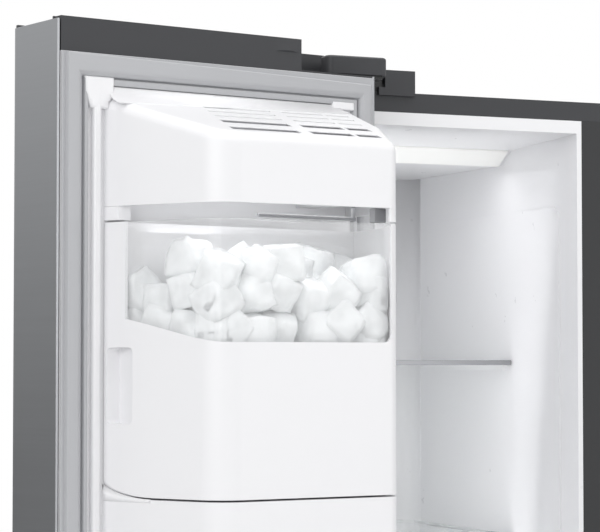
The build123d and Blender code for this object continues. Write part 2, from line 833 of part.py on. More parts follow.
def bottom_cap(door):
    """The cap with the bush for the lower pin."""
    cap_block(door, (door_bottom, door_bottom + bottom_cap_height))
    rod((door.pivot_x, pivot_y, door_bottom + bottom_cap_height), (0, 0, 1), bush_depth
        - bottom_cap_height, bush_radius)
    rod((door.pivot_x, pivot_y, door_bottom), (0, 0, 1), bush_depth, pin_radius + shaft_gap,
        Mode.SUBTRACT)


def door_foam(door):
    """The insulation between the wrap, the caps and the liner plate."""
    cap_block(door, (door_bottom + bottom_cap_height, cap_low))
    block(across(door, 0, door.width), (door_inner - door_plate, door_inner), (0, door_top),
          mode=Mode.SUBTRACT)
    rod((door.pivot_x, pivot_y, cap_low), (0, 0, -1), bush_depth, bush_radius, Mode.SUBTRACT)
    rod((door.pivot_x, pivot_y, door_bottom), (0, 0, 1), bush_depth, bush_radius, Mode.SUBTRACT)


def door_liner(door, hinge_rib_top):
    """The moulded inner plate with an upright rib set on along each side."""
    plate_z = (door_bottom + bottom_cap_height, cap_low)
    block(across(door, hem_width, door.width - hem_width - hem_gap),
          (door_inner - door_plate, door_inner), plate_z)
    for near, top in ((rib_hinge, hinge_rib_top), (door.width - rib_free - rib_width, plate_z[1]
                                                   - rib_end)):
        block(across(door, near, near + rib_width), (door_inner + plate_seam, door_inner + rib_height),
              (plate_z[0] + rib_foot, top))
    fillet(edges().filter_by(Axis.Z).group_by(Axis.Y)[-1], rib_round)


def ring(door, outer, inner, height, hinge_outer):
    """A rectangular frame on the door's inner face between two distances from its edges."""
    low = door_bottom + bottom_cap_height - gasket_rise
    high = cap_low + gasket_rise
    with BuildSketch(facing(door_inner)) as frame:
        pane(across(door, hinge_outer, door.width - outer), (low + outer, high - outer))
        pane(across(door, inner, door.width - inner), (low + inner, high - inner), mode=Mode.SUBTRACT)
    extrude(frame.sketch, amount=-height)


def door_gasket(door):
    """A soft frame: a thin base, a tall magnetic bulb and a thin inner lip beyond a groove."""
    bulb_end = bulb_edge + bulb_width
    lip_edge = bulb_end + lip_groove
    ring(door, bulb_edge, bulb_end, gasket_height, bulb_hinge_edge)
    fillet(faces().group_by(Axis.Y)[-1].edges(), bulb_round)
    ring(door, lip_edge, lip_edge + lip_width, gasket_lip, lip_edge)
    ring(door, gasket_edge, lip_edge + lip_width, gasket_base, gasket_edge)


def door_handle(door):
    """A round upright bar on two posts, on the outer face by the free edge."""
    x = door.hinge_x + door.way * (door.width - handle_inset)
    y = door_outer - handle_reach + handle_radius
    rod((x, y, handle_low), (0, 0, 1), handle_high - handle_low, handle_radius)
    for z in (handle_low + post_inset, handle_high - post_inset):
        rod((x, y, z), (0, 1, 0), door_outer - y, post_radius)


def bins(door, floors):
    """Open bins between the ribs, with their corners cut back to pass the opening."""
    free = door.width - rib_free - rib_width - running_gap
    hinge = rib_hinge + rib_width + running_gap
    points = [(hinge, 0), (hinge, bin_straight), (hinge + bin_hinge_cut, bin_reach),
              (free - bin_free_cut, bin_reach), (free, bin_straight), (free, 0)]
    for floor in floors:
        with BuildSketch(Plane.XY.offset(floor)) as plan:
            with BuildLine():
                FilletPolyline(*[(door.hinge_x + door.way * u, door_inner + p) for u, p in points],
                               close=True, radius=bin_rounds)
            make_face()
        with BuildSketch(Plane.XY.offset(floor + bin_wall)) as inside:
            add(plan.sketch_local)
            offset(amount=-bin_wall)
        extrude(plan.sketch, amount=bin_height)
        extrude(inside.sketch, amount=bin_height, mode=Mode.SUBTRACT)


with BuildPart() as fridge_door_skin:
    door_skin(fridge_door)
keep(fridge_door_skin, "fridge_door_skin", fridge_door.pose)

with BuildPart() as fridge_door_caps:
    top_cap(fridge_door)
    bottom_cap(fridge_door)
keep(fridge_door_caps, "fridge_door_caps", fridge_door.pose)

with BuildPart() as fridge_door_foam:
    door_foam(fridge_door)
keep(fridge_door_foam, "fridge_door_foam", fridge_door.pose)

with BuildPart() as fridge_door_liner:
    door_liner(fridge_door, cap_low - rib_end)
keep(fridge_door_liner, "fridge_door_liner", fridge_door.pose)

with BuildPart() as fridge_door_gasket:
    door_gasket(fridge_door)
keep(fridge_door_gasket, "fridge_door_gasket", fridge_door.pose)

with BuildPart() as fridge_door_handle:
    door_handle(fridge_door)
keep(fridge_door_handle, "fridge_door_handle", fridge_door.pose)

with BuildPart() as fridge_door_bins:
    bins(fridge_door, fridge_bins)
keep(fridge_door_bins, "fridge_door_bins", fridge_door.pose)


# Freezer door: the same parts, cut for the dispenser and the ice chute
dispenser_mid = x_left + freezer_door_width / 2
dispenser_x = (dispenser_mid - dispenser_width / 2, dispenser_mid + dispenser_width / 2)
recess_back = door_outer + dispenser_depth
chute_wide = 70.0
chute_deep = 56.0
chute_wall = 2.0
chute_forward = 46.0
chute_inset = 12.0
chute_top_y = door_inner + chute_forward
chute_low_y = recess_back - chute_deep / 2 - chute_inset
recess_top = dispenser_high + dispenser_wall


def recess_block(mode):
    """The outside of the dispenser's recess."""
    block((dispenser_x[0] - dispenser_wall, dispenser_x[1] + dispenser_wall),
          (door_outer, recess_back + dispenser_wall), (dispenser_low - dispenser_wall, recess_top),
          mode=mode)


def chute_block(inset, mode=Mode.ADD):
    """The slanted passage from the bucket's outlet to the recess's ceiling."""
    ends = []
    for z, y in ((pod_top, chute_top_y), (recess_top, chute_low_y)):
        with BuildSketch(Plane.XY.offset(z)) as mouth:
            with Locations((dispenser_mid, y)):
                Rectangle(chute_wide - 2 * inset, chute_deep - 2 * inset)
        ends.append(mouth.sketch)
    loft(ends, mode=mode)


def cap_bump():
    """A low swelling on the cap beside the hinge notch that runs out upwards and to both ends."""
    near, far = across(freezer_door, notch_width + bump_near, notch_width + bump_near + bump_width)
    with BuildPart() as bump:
        with BuildSketch(sideways(near)) as side:
            with BuildLine() as edge:
                Polyline((door_inner, door_top - skin_sheet), (door_inner, door_top - bump_height - bump_sheet),
                         (door_inner + bump_sheet, door_top - bump_height), close=True)
            make_face(edge.edges())
        extrude(side.sketch, amount=far - near)
        with BuildSketch(Plane.XY.offset(cap_low)) as plan:
            with BuildLine() as edge:
                Polyline((near, door_inner), (near + bump_taper, door_inner + bump_sheet),
                         (far - bump_taper, door_inner + bump_sheet), (far, door_inner), close=True)
            make_face(edge.edges())
        extrude(plan.sketch, amount=cap_height, mode=Mode.INTERSECT)
    return bump.part


with BuildPart() as freezer_door_skin:
    door_skin(freezer_door)
    recess_block(Mode.SUBTRACT)
keep(freezer_door_skin, "freezer_door_skin", freezer_door.pose)

with BuildPart() as freezer_door_top_cap:
    top_cap(freezer_door)
    add(cap_bump())
keep(freezer_door_top_cap, "freezer_door_top_cap", freezer_door.pose)

with BuildPart() as freezer_door_bottom_cap:
    bottom_cap(freezer_door)
keep(freezer_door_bottom_cap, "freezer_door_bottom_cap", freezer_door.pose)

with BuildPart() as freezer_door_foam:
    door_foam(freezer_door)
    recess_block(Mode.SUBTRACT)
    chute_block(0, Mode.SUBTRACT)
keep(freezer_door_foam, "freezer_door_foam", freezer_door.pose)

with BuildPart() as freezer_door_gasket:
    door_gasket(freezer_door)
keep(freezer_door_gasket, "freezer_door_gasket", freezer_door.pose)

with BuildPart() as freezer_door_handle:
    door_handle(freezer_door)
keep(freezer_door_handle, "freezer_door_handle", freezer_door.pose)

with BuildPart() as freezer_door_bins:
    bins(freezer_door, freezer_bins)
keep(freezer_door_bins, "freezer_door_bins", freezer_door.pose)


# Pod: ice maker housing, bucket and the cover below them share this swelling plan outline
def pod_outline(back, inset=0.0):
    """Plan of the pod in the sketch being drawn, cut off behind a distance from the door's inner face."""
    hinge = freezer_door_width - pod_hinge
    points = [(pod_free, -pod_bend_reach), (pod_bend, pod_bend_reach),
              (pod_shoulder, pod_shoulder_reach), (pod_nose, pod_reach),
              (pod_cheek, pod_cheek_reach), (hinge, pod_hinge_root), (hinge, -pod_bend_reach)]
    with BuildLine() as edge:
        FilletPolyline(*[(freezer_free - s, door_inner + p) for s, p in points], close=True,
                       radius=pod_rounds)
    make_face(edge.edges())
    if inset:
        offset(amount=-inset)
    pane((freezer_free - freezer_door_width, freezer_free),
         (door_inner - 2 * pod_bend_reach, door_inner + back), mode=Mode.SUBTRACT)


def pod_block(back, z, inset=0.0, mode=Mode.ADD):
    """The pod's outline between two heights."""
    with BuildSketch(Plane.XY.offset(z[0])) as plan:
        pod_outline(back, inset)
    extrude(plan.sketch, amount=z[1] - z[0], mode=mode)


front_plan = Plane(origin=(freezer_free - pod_shoulder, door_inner + pod_shoulder_reach, 0),
                   x_dir=(pod_nose - pod_shoulder, pod_shoulder_reach - pod_reach, 0), z_dir=(0, 0, 1))


def roof_cut(drop):
    """Cut away what lies above the housing's roof, which rises back from the front and is lowered by a wall."""
    side_plane = Plane(origin=front_plan.origin, x_dir=front_plan.y_dir, z_dir=front_plan.x_dir)
    ahead, back = pod_wall, 2 * pod_reach
    with BuildSketch(side_plane) as side:
        with BuildLine() as edge:
            Polyline((ahead, housing_front_top - drop - roof_slope * ahead),
                     (-back, housing_front_top - drop + roof_slope * back), (-back, 2 * door_top),
                     (ahead, 2 * door_top), close=True)
        make_face(edge.edges())
    extrude(side.sketch, amount=freezer_door_width, both=True, mode=Mode.SUBTRACT)


# The hollow under the roof stays lower along the walls, where the roof's edge is rounded
with BuildPart() as housing_core:
    pod_block(0, (housing_low, housing_back_top - roof_sheet), pod_wall)
    roof_cut(roof_round / 2)
with BuildPart() as roof_core:
    pod_block(0, (housing_low, housing_back_top - roof_sheet), roof_round)
    roof_cut(roof_sheet)

# Louvre rows as distance behind the front and width, then the ends of the three slots in a row
louvre_rows = ((24.5, 13.0), (53.5, 13.0), (77.0, 5.5), (97.0, 5.5), (115.0, 5.5), (133.0, 5.0))
louvre_ends = ((122.0, 202.0), (215.0, 266.0), (270.0, 299.0))
louvre_shift = 0.22
leg_width = 8.0
leg_root = 100.0
post_far = 74.0
post_reach = 19.0
post_clear = 0.2


def gap_piece(spans, reaches, inset=0.0, clear=0.0):
    """What the pod's outline holds in the gap over the bucket, between two spans and two reaches."""
    high = (bucket_high + seam_gap, housing_low - clear)
    with BuildPart() as piece:
        pod_block(0, high)
        if inset:
            pod_block(0, high, inset, Mode.SUBTRACT)
        block((freezer_free - spans[1], freezer_free - spans[0]),
              (door_inner + reaches[0], door_inner + reaches[1]), high, mode=Mode.INTERSECT)
    return piece.part


with BuildPart() as ice_maker_housing:
    pod_block(0, (housing_low, housing_back_top))
    roof_cut(0)
    roof = ice_maker_housing.faces().filter_by(lambda f: 0.5 < f.normal_at().Z < 0.99)
    fillet(roof.edges().filter_by(lambda e: e.center().Y > door_inner + pod_hinge_root), roof_round)
    add(housing_core.part, mode=Mode.SUBTRACT)
    add(roof_core.part, mode=Mode.SUBTRACT)
    add(gap_piece((pod_nose - leg_width, freezer_door_width), (leg_root, pod_reach), pod_wall))
    add(gap_piece((pod_free, post_far), (0, post_reach), clear=post_clear))
    with BuildSketch(front_plan.offset(housing_front_top)) as slots:
        for back, width in louvre_rows:
            for near, far in louvre_ends:
                free = pod_shoulder - louvre_shift * back
                pane((free - far, free - near), (-back - width / 2, -back + width / 2))
    extrude(slots.sketch, amount=housing_back_top - housing_front_top, mode=Mode.SUBTRACT)
keep(ice_maker_housing, "ice_maker_housing", freezer_door.pose)


def chute_height(y):
    """Height at which the middle of the chute passes a depth."""
    share = (y - chute_low_y) / (chute_top_y - chute_low_y)
    return min(max(recess_top + share * (pod_top - recess_top), recess_top), pod_top)


# The plate is made of boards with a window between them, so that the chute stays open in the collision model
with BuildPart() as freezer_door_liner:
    door_liner(freezer_door, pod_foot - seam_gap)
    plate = (door_inner - door_plate, door_inner)
    window = (chute_height(plate[0] - chute_deep / 2), chute_height(plate[1] + chute_deep / 2))
    block((dispenser_mid - chute_wide / 2, dispenser_mid + chute_wide / 2), plate, window, mode=Mode.SUBTRACT)
    for z in window:
        block((freezer_free - freezer_door_width, freezer_free), plate, (z - plate_seam, z),
              mode=Mode.SUBTRACT)
keep(freezer_door_liner, "freezer_door_liner", freezer_door.pose)

with BuildPart() as dispenser_back_cover:
    pod_block(0, (pod_foot, pod_top))
    pod_block(0, (pod_foot + pod_wall, pod_top - pod_wall), pod_wall, Mode.SUBTRACT)
    chute_block(0, Mode.SUBTRACT)
keep(dispenser_back_cover, "dispenser_back_cover", freezer_door.pose)


# Bucket with its window, the ice in it and the auger under the ice
auger_rise = 43.0
auger_z = bucket_low + auger_rise
auger_radius = 33.0
auger_shaft = 5.0
auger_end = 136.0
boss_radius = 9.0
boss_start = 128.0
skirt_near = 80.0
skirt_far = 346.0


def window_cut(mode):
    """The window's part of the bucket's wall, drawn in front view and taken forward."""
    low, left_low = bucket_high - window_drop, bucket_high - window_left_drop
    free = pod_free - pod_wall
    points = [(window_right, bucket_high), (window_right, low), (window_turn, low), (free, left_low),
              (free, bucket_high)]
    with BuildSketch(facing(door_inner + window_root)) as view:
        with BuildLine() as edge:
            FilletPolyline(*[(freezer_free - s, z) for s, z in points], close=True,
                           radius=(0, window_round / 5, window_round, window_round / 5, 0))
        make_face(edge.edges())
    extrude(view.sketch, amount=-pod_reach, mode=mode)


def grip_block(extra, mode):
    """The finger pocket in the bucket's free side, or the walls round it when larger."""
    low = bucket_low + grip_low
    depth = pod_bend + grip_depth + extra
    with BuildSketch(sideways(freezer_free - depth)) as mouth:
        pane((door_inner + grip_root - extra, door_inner + grip_root + grip_width + extra),
             (low - extra, low + grip_height + extra))
        fillet(vertices(), grip_round + extra)
    extrude(mouth.sketch, amount=depth - pod_free + pod_wall, mode=mode)


def corner_cut():
    """Round the bucket's lower free corner in front view."""
    middle = freezer_free - (pod_free + pod_bend) / 2 - bucket_round
    with BuildSketch(facing(door_inner)) as view:
        pane((middle, freezer_free - pod_free), (bucket_low, bucket_low + bucket_round))
        with Locations((middle, bucket_low + bucket_round)):
            Circle(bucket_round, mode=Mode.SUBTRACT)
    extrude(view.sketch, amount=-pod_reach, mode=Mode.SUBTRACT)


with BuildPart() as bucket_hollow:
    pod_block(bucket_back + pod_wall, (bucket_low + pod_wall, bucket_high), pod_wall)
    grip_block(pod_wall, Mode.SUBTRACT)

with BuildPart() as ice_bucket:
    pod_block(bucket_skirt, (bucket_low, bucket_high))
    block((freezer_free - skirt_far, freezer_free - skirt_near), (door_inner, door_inner + bucket_back),
          (bucket_low, bucket_high), mode=Mode.SUBTRACT)
    corner_cut()
    add(bucket_hollow.part, mode=Mode.SUBTRACT)
    grip_block(0, Mode.SUBTRACT)
    window_cut(Mode.SUBTRACT)
    rod((dispenser_mid, door_inner + boss_start, auger_z), (0, 1, 0), pod_reach - boss_start
        - 3 * pod_wall, boss_radius)
    rod((dispenser_mid, door_inner, auger_z), (0, 1, 0), auger_end + running_gap,
        auger_shaft + shaft_gap, Mode.SUBTRACT)
    block((dispenser_mid - chute_wide / 2, dispenser_mid + chute_wide / 2),
          (chute_top_y - chute_deep / 2, chute_top_y + chute_deep / 2),
          (bucket_low, bucket_low + pod_wall), mode=Mode.SUBTRACT)
keep(ice_bucket, "ice_bucket", freezer_door.pose)

with BuildPart() as bucket_window:
    pod_block(bucket_back, (bucket_low, bucket_high))
    add(bucket_hollow.part, mode=Mode.SUBTRACT)
    window_cut(Mode.INTERSECT)
keep(bucket_window, "bucket_window", freezer_door.pose)

cube = 26.0
cube_columns = 4
cube_rows = 2
cube_pitch = 44.0
cube_start = 136.0
cube_reach = 52.0
turns = (15.0, 20.0, 37.0)

with BuildPart() as ice_pile:
    pod_block(bucket_back + pod_wall, (bucket_low + ice_rest, bucket_high - ice_level),
              pod_wall + running_gap)
    grip_block(pod_wall + running_gap, Mode.SUBTRACT)
    for i in range(cube_columns):
        for j in range(cube_rows):
            spot = (freezer_free - cube_start - i * cube_pitch, door_inner + cube_reach + j * cube_pitch,
                    bucket_high - ice_level)
            with Locations(Location(spot, (turns[0] * (i + j), turns[1] * (i - j), turns[2] * (i - j)))):
                Box(cube, cube, cube)
keep(ice_pile, "ice_pile", freezer_door.pose)

paddle_count = 6
paddle_start = 26.0
paddle_pitch = 17.0
paddle_turn = 30.0
paddle_sheet = 5.0
coupling_gap = 1.0

with BuildPart() as ice_auger:
    rod((dispenser_mid, door_inner + coupling_gap, auger_z), (0, 1, 0), auger_end - coupling_gap,
        auger_shaft)
    rod((dispenser_mid, door_inner + 2 * coupling_gap, auger_z), (0, 1, 0),
        bucket_back - 3 * coupling_gap, 3 * auger_shaft)
    for i in range(paddle_count):
        y = door_inner + paddle_start + paddle_pitch * i
        with BuildSketch(Plane(origin=(dispenser_mid, y, auger_z), z_dir=(0, 1, 0))):
            SlotOverall(2 * auger_radius, 1.6 * auger_shaft, rotation=paddle_turn * i)
        extrude(amount=paddle_sheet)
keep(ice_auger, "ice_auger", freezer_door.pose)


# Ice maker inside the housing: a drive frame, the twisting tray and the ice level arm
tray_reach = 75.0
tray_rise = 37.0
tray_near = 99.0
tray_far = 290.0
tray_width = 58.0
tray_depth = 24.0
tray_floor = 7.0
tray_taper = 8.0
cell_pitch = (31.0, 27.0)
cell_size = (27.0, 23.0)
cell_count = (6, 2)
cell_round = 4.0
journal = 4.0
journal_length = 12.0
arm_reach = 113.0
arm_rise = 13.0
arm_length = 120.0
arm_inset = 8.0
wire = 2.0
drive_width = 24.0
drive_margin = 5.0
drive_top = 26.0
rail_low = 20.0
rail_high = 48.0
rail_sheet = 8.0
bearing_width = 6.0
bearing_half = 10.0
tray_y = door_inner + tray_reach
tray_z = housing_low + tray_rise
arm_y = door_inner + arm_reach
arm_z = housing_low + arm_rise
drive_x = freezer_free - tray_far - drive_width
tray_x = (freezer_free - tray_far, freezer_free - tray_near)

with BuildPart() as ice_maker_drive:
    block((drive_x, tray_x[1] + bearing_width), (door_inner, door_inner + rail_sheet),
          (tray_z + rail_low, tray_z + rail_high))
    block((drive_x, tray_x[0] - running_gap), (door_inner, arm_y + drive_margin),
          (arm_z - drive_margin, tray_z + drive_top))
    block((tray_x[1] + running_gap, tray_x[1] + bearing_width), (door_inner, tray_y + bearing_half),
          (tray_z - bearing_half, tray_z + drive_top))
    rod((tray_x[0] - journal_length - running_gap, tray_y, tray_z), (1, 0, 0),
        tray_far - tray_near + journal_length + 2 * bearing_width, journal + shaft_gap, Mode.SUBTRACT)
    rod((tray_x[0] - journal_length - running_gap, arm_y, arm_z), (1, 0, 0), 2 * journal_length,
        wire + shaft_gap, Mode.SUBTRACT)
keep(ice_maker_drive, "ice_maker_drive", freezer_door.pose)

with BuildPart() as ice_tray:
    block(tray_x, (tray_y - tray_width / 2, tray_y + tray_width / 2),
          (tray_z - tray_depth / 2, tray_z + tray_depth / 2))
    with BuildSketch(Plane.XY.offset(tray_z + tray_depth / 2)):
        with Locations(((tray_x[0] + tray_x[1]) / 2, tray_y)):
            with GridLocations(*cell_pitch, *cell_count):
                RectangleRounded(*cell_size, cell_round)
    extrude(amount=tray_floor - tray_depth, mode=Mode.SUBTRACT, taper=tray_taper)
    rod((tray_x[0], tray_y, tray_z), (-1, 0, 0), journal_length, journal)
    rod((tray_x[1], tray_y, tray_z), (1, 0, 0), bearing_width, journal)
keep(ice_tray, "ice_tray", freezer_door.pose)

with BuildPart() as ice_level_arm:
    bend_x = tray_x[0] + arm_inset
    drop = arm_z - bucket_high - 3 * wire
    rod((tray_x[0] - journal_length, arm_y, arm_z), (1, 0, 0), journal_length + arm_inset + wire, wire)
    rod((bend_x, arm_y, arm_z), (0, 0, -1), drop, wire)
    rod((bend_x - wire, arm_y, arm_z - drop), (1, 0, 0), arm_length, wire)
keep(ice_level_arm, "ice_level_arm", freezer_door.pose)


# Dispenser
flap_sheet = 2.0
flap_pin = 2.0
flap_drop = 8.0
paddle_wide = 60.0
paddle_high = 92.0
paddle_half = 2.0
paddle_pin = 4.0
paddle_drop = 44.0
paddle_forward = 24.0
paddle_round = 14.0
ear = 5.0
ear_half = 6.0
paddle_y = recess_back - paddle_forward
paddle_z = dispenser_high - paddle_drop
flap_y = chute_low_y + chute_deep / 2 + 2 * flap_pin
flap_z = dispenser_high - flap_drop


def ears(wide, y, z):
    """A pair of ears from the recess's back wall, just outside a swinging piece."""
    for side in (-1, 1):
        inner = dispenser_mid + side * (wide / 2 + running_gap)
        outer = inner + side * ear
        block((min(inner, outer), max(inner, outer)), (y - ear_half, recess_back), z)


with BuildPart() as dispenser_recess:
    recess_block(Mode.ADD)
    block(dispenser_x, (door_outer, recess_back), (dispenser_low, dispenser_high), mode=Mode.SUBTRACT)
    with BuildSketch(facing(door_outer)):
        pane((dispenser_x[0] - bezel, dispenser_x[1] + bezel),
             (dispenser_low - bezel, dispenser_high + bezel))
        pane(dispenser_x, (dispenser_low, dispenser_high), mode=Mode.SUBTRACT)
    extrude(amount=bezel_sheet)
    block((dispenser_mid - chute_wide / 2 + chute_wall, dispenser_mid + chute_wide / 2 - chute_wall),
          (chute_low_y - chute_deep / 2 + chute_wall, chute_low_y + chute_deep / 2 - chute_wall),
          (dispenser_high, recess_top), mode=Mode.SUBTRACT)
    ears(paddle_wide, paddle_y, (paddle_z - ear_half, paddle_z + ear_half))
    ears(chute_wide, flap_y, (flap_z - ear_half, dispenser_high))
    for y, z, wide, pin in ((paddle_y, paddle_z, paddle_wide, paddle_pin),
                            (flap_y, flap_z, chute_wide, flap_pin)):
        rod((dispenser_mid - wide, y, z), (1, 0, 0), 2 * wide, pin + shaft_gap, Mode.SUBTRACT)
keep(dispenser_recess, "dispenser_recess", freezer_door.pose)

with BuildPart() as ice_chute:
    chute_block(0)
    chute_block(chute_wall, Mode.SUBTRACT)
keep(ice_chute, "ice_chute", freezer_door.pose)

with BuildPart() as chute_flap:
    block((dispenser_mid - chute_wide / 2, dispenser_mid + chute_wide / 2),
          (flap_y - chute_deep, flap_y), (flap_z - flap_sheet / 2, flap_z + flap_sheet / 2))
    reach = chute_wide / 2 + ear
    rod((dispenser_mid - reach, flap_y, flap_z), (1, 0, 0), 2 * reach, flap_pin)
keep(chute_flap, "chute_flap", freezer_door.pose)

with BuildPart() as dispenser_paddle:
    block((dispenser_mid - paddle_wide / 2, dispenser_mid + paddle_wide / 2),
          (paddle_y - paddle_half, paddle_y + paddle_half), (paddle_z - paddle_high, paddle_z))
    fillet(dispenser_paddle.edges().filter_by(Axis.Y).group_by(Axis.Z)[0], paddle_round)
    reach = paddle_wide / 2 + ear
    rod((dispenser_mid - reach, paddle_y, paddle_z), (1, 0, 0), 2 * reach, paddle_pin)
keep(dispenser_paddle, "dispenser_paddle", freezer_door.pose)

panel_round = 6.0
with BuildPart() as dispenser_panel:
    block((dispenser_x[0] - bezel, dispenser_x[1] + bezel), (door_outer - bezel_sheet, door_outer),
          (dispenser_high + bezel, dispenser_high + bezel + panel_height))
    fillet(dispenser_panel.edges().filter_by(Axis.Y).group_by(Axis.Z)[-1], panel_round)
keep(dispenser_panel, "dispenser_panel", freezer_door.pose)

drip_gap = 1.0
drip_height = 8.0
drip_front = 4.0
drip_slot = 6.0
drip_slots = 13
drip_margin = 12.0
with BuildPart() as drip_grille:
    block((dispenser_x[0] + drip_gap, dispenser_x[1] - drip_gap),
          (door_outer + drip_front, recess_back - drip_gap), (dispenser_low, dispenser_low + drip_height))
    with BuildSketch(Plane.XY.offset(dispenser_low)):
        with Locations((dispenser_mid, (door_outer + recess_back) / 2)):
            with GridLocations(2 * drip_slot, 1, drip_slots, 1):
                Rectangle(drip_slot, dispenser_depth - 2 * drip_margin)
    extrude(amount=drip_height, mode=Mode.SUBTRACT)
keep(drip_grille, "drip_grille", freezer_door.pose)
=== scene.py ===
# %% [markdown]
# # A side by side refrigerator with its doors open
# The machine shop's model of the refrigerator comes in as a fixed frame: every sheet, liner, tray and pin
# is already where it belongs, in metres. This lesson gives each of them the surface it has in a kitchen,
# and makes anew the few pieces that a plain solid can't show, such as the soft door seals and the heap of
# ice.

# %% Load the frame
import json
import math
import random

import bmesh
import bpy
from mathutils import Matrix, Vector, noise


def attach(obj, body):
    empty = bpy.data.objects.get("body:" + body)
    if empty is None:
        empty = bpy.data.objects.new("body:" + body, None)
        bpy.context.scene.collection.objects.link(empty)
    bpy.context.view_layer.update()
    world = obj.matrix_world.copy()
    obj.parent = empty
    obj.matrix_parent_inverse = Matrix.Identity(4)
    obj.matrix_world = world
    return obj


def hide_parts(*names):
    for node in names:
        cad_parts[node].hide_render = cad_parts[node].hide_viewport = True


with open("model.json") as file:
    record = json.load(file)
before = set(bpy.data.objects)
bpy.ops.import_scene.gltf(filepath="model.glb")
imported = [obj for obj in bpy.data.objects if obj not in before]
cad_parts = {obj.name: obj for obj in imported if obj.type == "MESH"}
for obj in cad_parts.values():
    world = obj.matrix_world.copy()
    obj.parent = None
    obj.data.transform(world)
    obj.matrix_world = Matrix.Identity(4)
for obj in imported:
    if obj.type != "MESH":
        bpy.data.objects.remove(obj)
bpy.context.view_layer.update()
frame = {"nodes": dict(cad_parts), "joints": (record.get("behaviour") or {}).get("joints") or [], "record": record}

nodes = frame["nodes"]
joints = {joint["name"]: joint for joint in frame["joints"]}
slot_of = {row["node"]: row["material_slot"] for row in frame["record"]["subparts"]}

# %% [markdown]
# ## Places on a door
# Both doors stand open at the end of their swing. It is far easier to think of a door as closed: a distance
# from its hinge edge, a distance out from its inner face and a height. The hinge's own joint tells where
# the pin is and how far the door has turned, so one small function can carry such a place to where the door
# now stands.

# %% Door places
MM = 0.001
# In metres: the inner face of both closed doors, then each door's hinge edge, its direction and its width
FACE = -0.315
EDGES = {"freezer": -0.456, "fridge": 0.456}
WAYS = {"freezer": 1, "fridge": -1}
WIDTHS = {"freezer": 0.396, "fridge": 0.512}


def on_door(door, across, out, height):
    """Rest place of a point on a door: mm from the hinge edge, mm out of the inner face and height in mm."""
    swing = joints[door + "_door_swing"]
    pin = Vector(swing["pos_m"])
    turn = math.radians(-swing["range_deg"][0]) * swing["axis"][2]
    closed = Vector((EDGES[door] + WAYS[door] * across * MM, FACE + out * MM, height * MM))
    flat = Vector((pin.x, pin.y, 0))
    return flat + Matrix.Rotation(turn, 3, "Z") @ (closed - flat)


def from_free(span, out, height):
    """A place on the freezer door measured from its free edge instead."""
    return on_door("freezer", WIDTHS["freezer"] / MM - span, out, height)


def to_free(point):
    """The other way round: span from the free edge, distance out and height, in mm, of a rest place."""
    swing = joints["freezer_door_swing"]
    flat = Vector((swing["pos_m"][0], swing["pos_m"][1], 0))
    turn = math.radians(swing["range_deg"][0]) * swing["axis"][2]
    closed = flat + Matrix.Rotation(turn, 3, "Z") @ (point - flat)
    return (EDGES["freezer"] + WIDTHS["freezer"] - closed.x) / MM, (closed.y - FACE) / MM, closed.z / MM


print("free edge of the freezer door at", tuple(round(v, 3) for v in from_free(0, 0, 1745)))

# %% [markdown]
# ## Colours and nodes
# Paint charts give colours as sRGB hex values, while a shader works in linear light, so one function turns
# the one into the other. A second small function adds a node, sets it up and links it, which keeps every
# finish below to a few readable lines.


# %% Colour and node helpers
def linear(code):
    """sRGB hex to linear red, green and blue, with a full alpha."""
    parts = [int(code[i:i + 2], 16) / 255 for i in (1, 3, 5)]
    return tuple(c / 12.92 if c <= 0.04045 else ((c + 0.055) / 1.055) ** 2.4 for c in parts) + (1.0,)


def add_node(tree, kind, links=(), **settings):
    """Add a node; settings with a known attribute go there, others to the input of that name."""
    made = tree.nodes.new(kind)
    for key, value in settings.items():
        if hasattr(made, key):
            setattr(made, key, value)
        else:
            made.inputs[key.replace("_", " ")].default_value = value
    for source, target in links:
        tree.links.new(source, made.inputs[target])
    return made


def finish(name, code, **sockets):
    """A new material with its shader's constant values set on the shader's own sockets."""
    made = bpy.data.materials.new(name)
    made.use_nodes = True
    shader = made.node_tree.nodes["Principled BSDF"]
    shader.inputs["Base Color"].default_value = linear(code)
    for key, value in sockets.items():
        shader.inputs[key.replace("_", " ")].default_value = value
    made.diffuse_color = linear(code)
    return made, made.node_tree, shader


print("mid grey #808080 is", round(linear("#808080")[0], 3), "in linear light")

# %% [markdown]
# ## Brushed stainless steel
# The doors are wrapped in thin stainless sheet that was drawn under an abrasive belt, so it carries fine
# scratches along the belt, level across the door. Each scratch is only a few tenths of a millimetre wide,
# too fine for this picture, so the grain is drawn about 2 mm tall and 150 mm long. The grain changes the
# roughness a little and tilts the surface a little, which stretches the highlights upright.

# %% Brushed stainless
GRAIN_TALL = 2.0 * MM
GRAIN_LONG = 150.0 * MM
STEEL_GREY = "#adafb2"
GRAIN_TONE = (0.94, 1.05)
GRAIN_GLOSS = (0.31, 0.41)
stainless, tree, shader = finish("brushed_stainless_steel", STEEL_GREY, Metallic=1.0, Roughness=0.36)
place = add_node(tree, "ShaderNodeTexCoord")
grain_map = add_node(tree, "ShaderNodeMapping", [(place.outputs["Object"], "Vector")],
                     Scale=(1 / GRAIN_LONG, 1 / GRAIN_LONG, 1 / GRAIN_TALL))
grain = add_node(tree, "ShaderNodeTexNoise", [(grain_map.outputs["Vector"], "Vector")],
                 Scale=1.0, Detail=4.0, Roughness=0.65)
tone = add_node(tree, "ShaderNodeMapRange", [(grain.outputs["Fac"], "Value")],
                To_Min=GRAIN_TONE[0], To_Max=GRAIN_TONE[1])
shade = add_node(tree, "ShaderNodeVectorMath", [(tone.outputs["Result"], 1)], operation="MULTIPLY")
shade.inputs[0].default_value = linear(STEEL_GREY)[:3]
tree.links.new(shade.outputs["Vector"], shader.inputs["Base Color"])
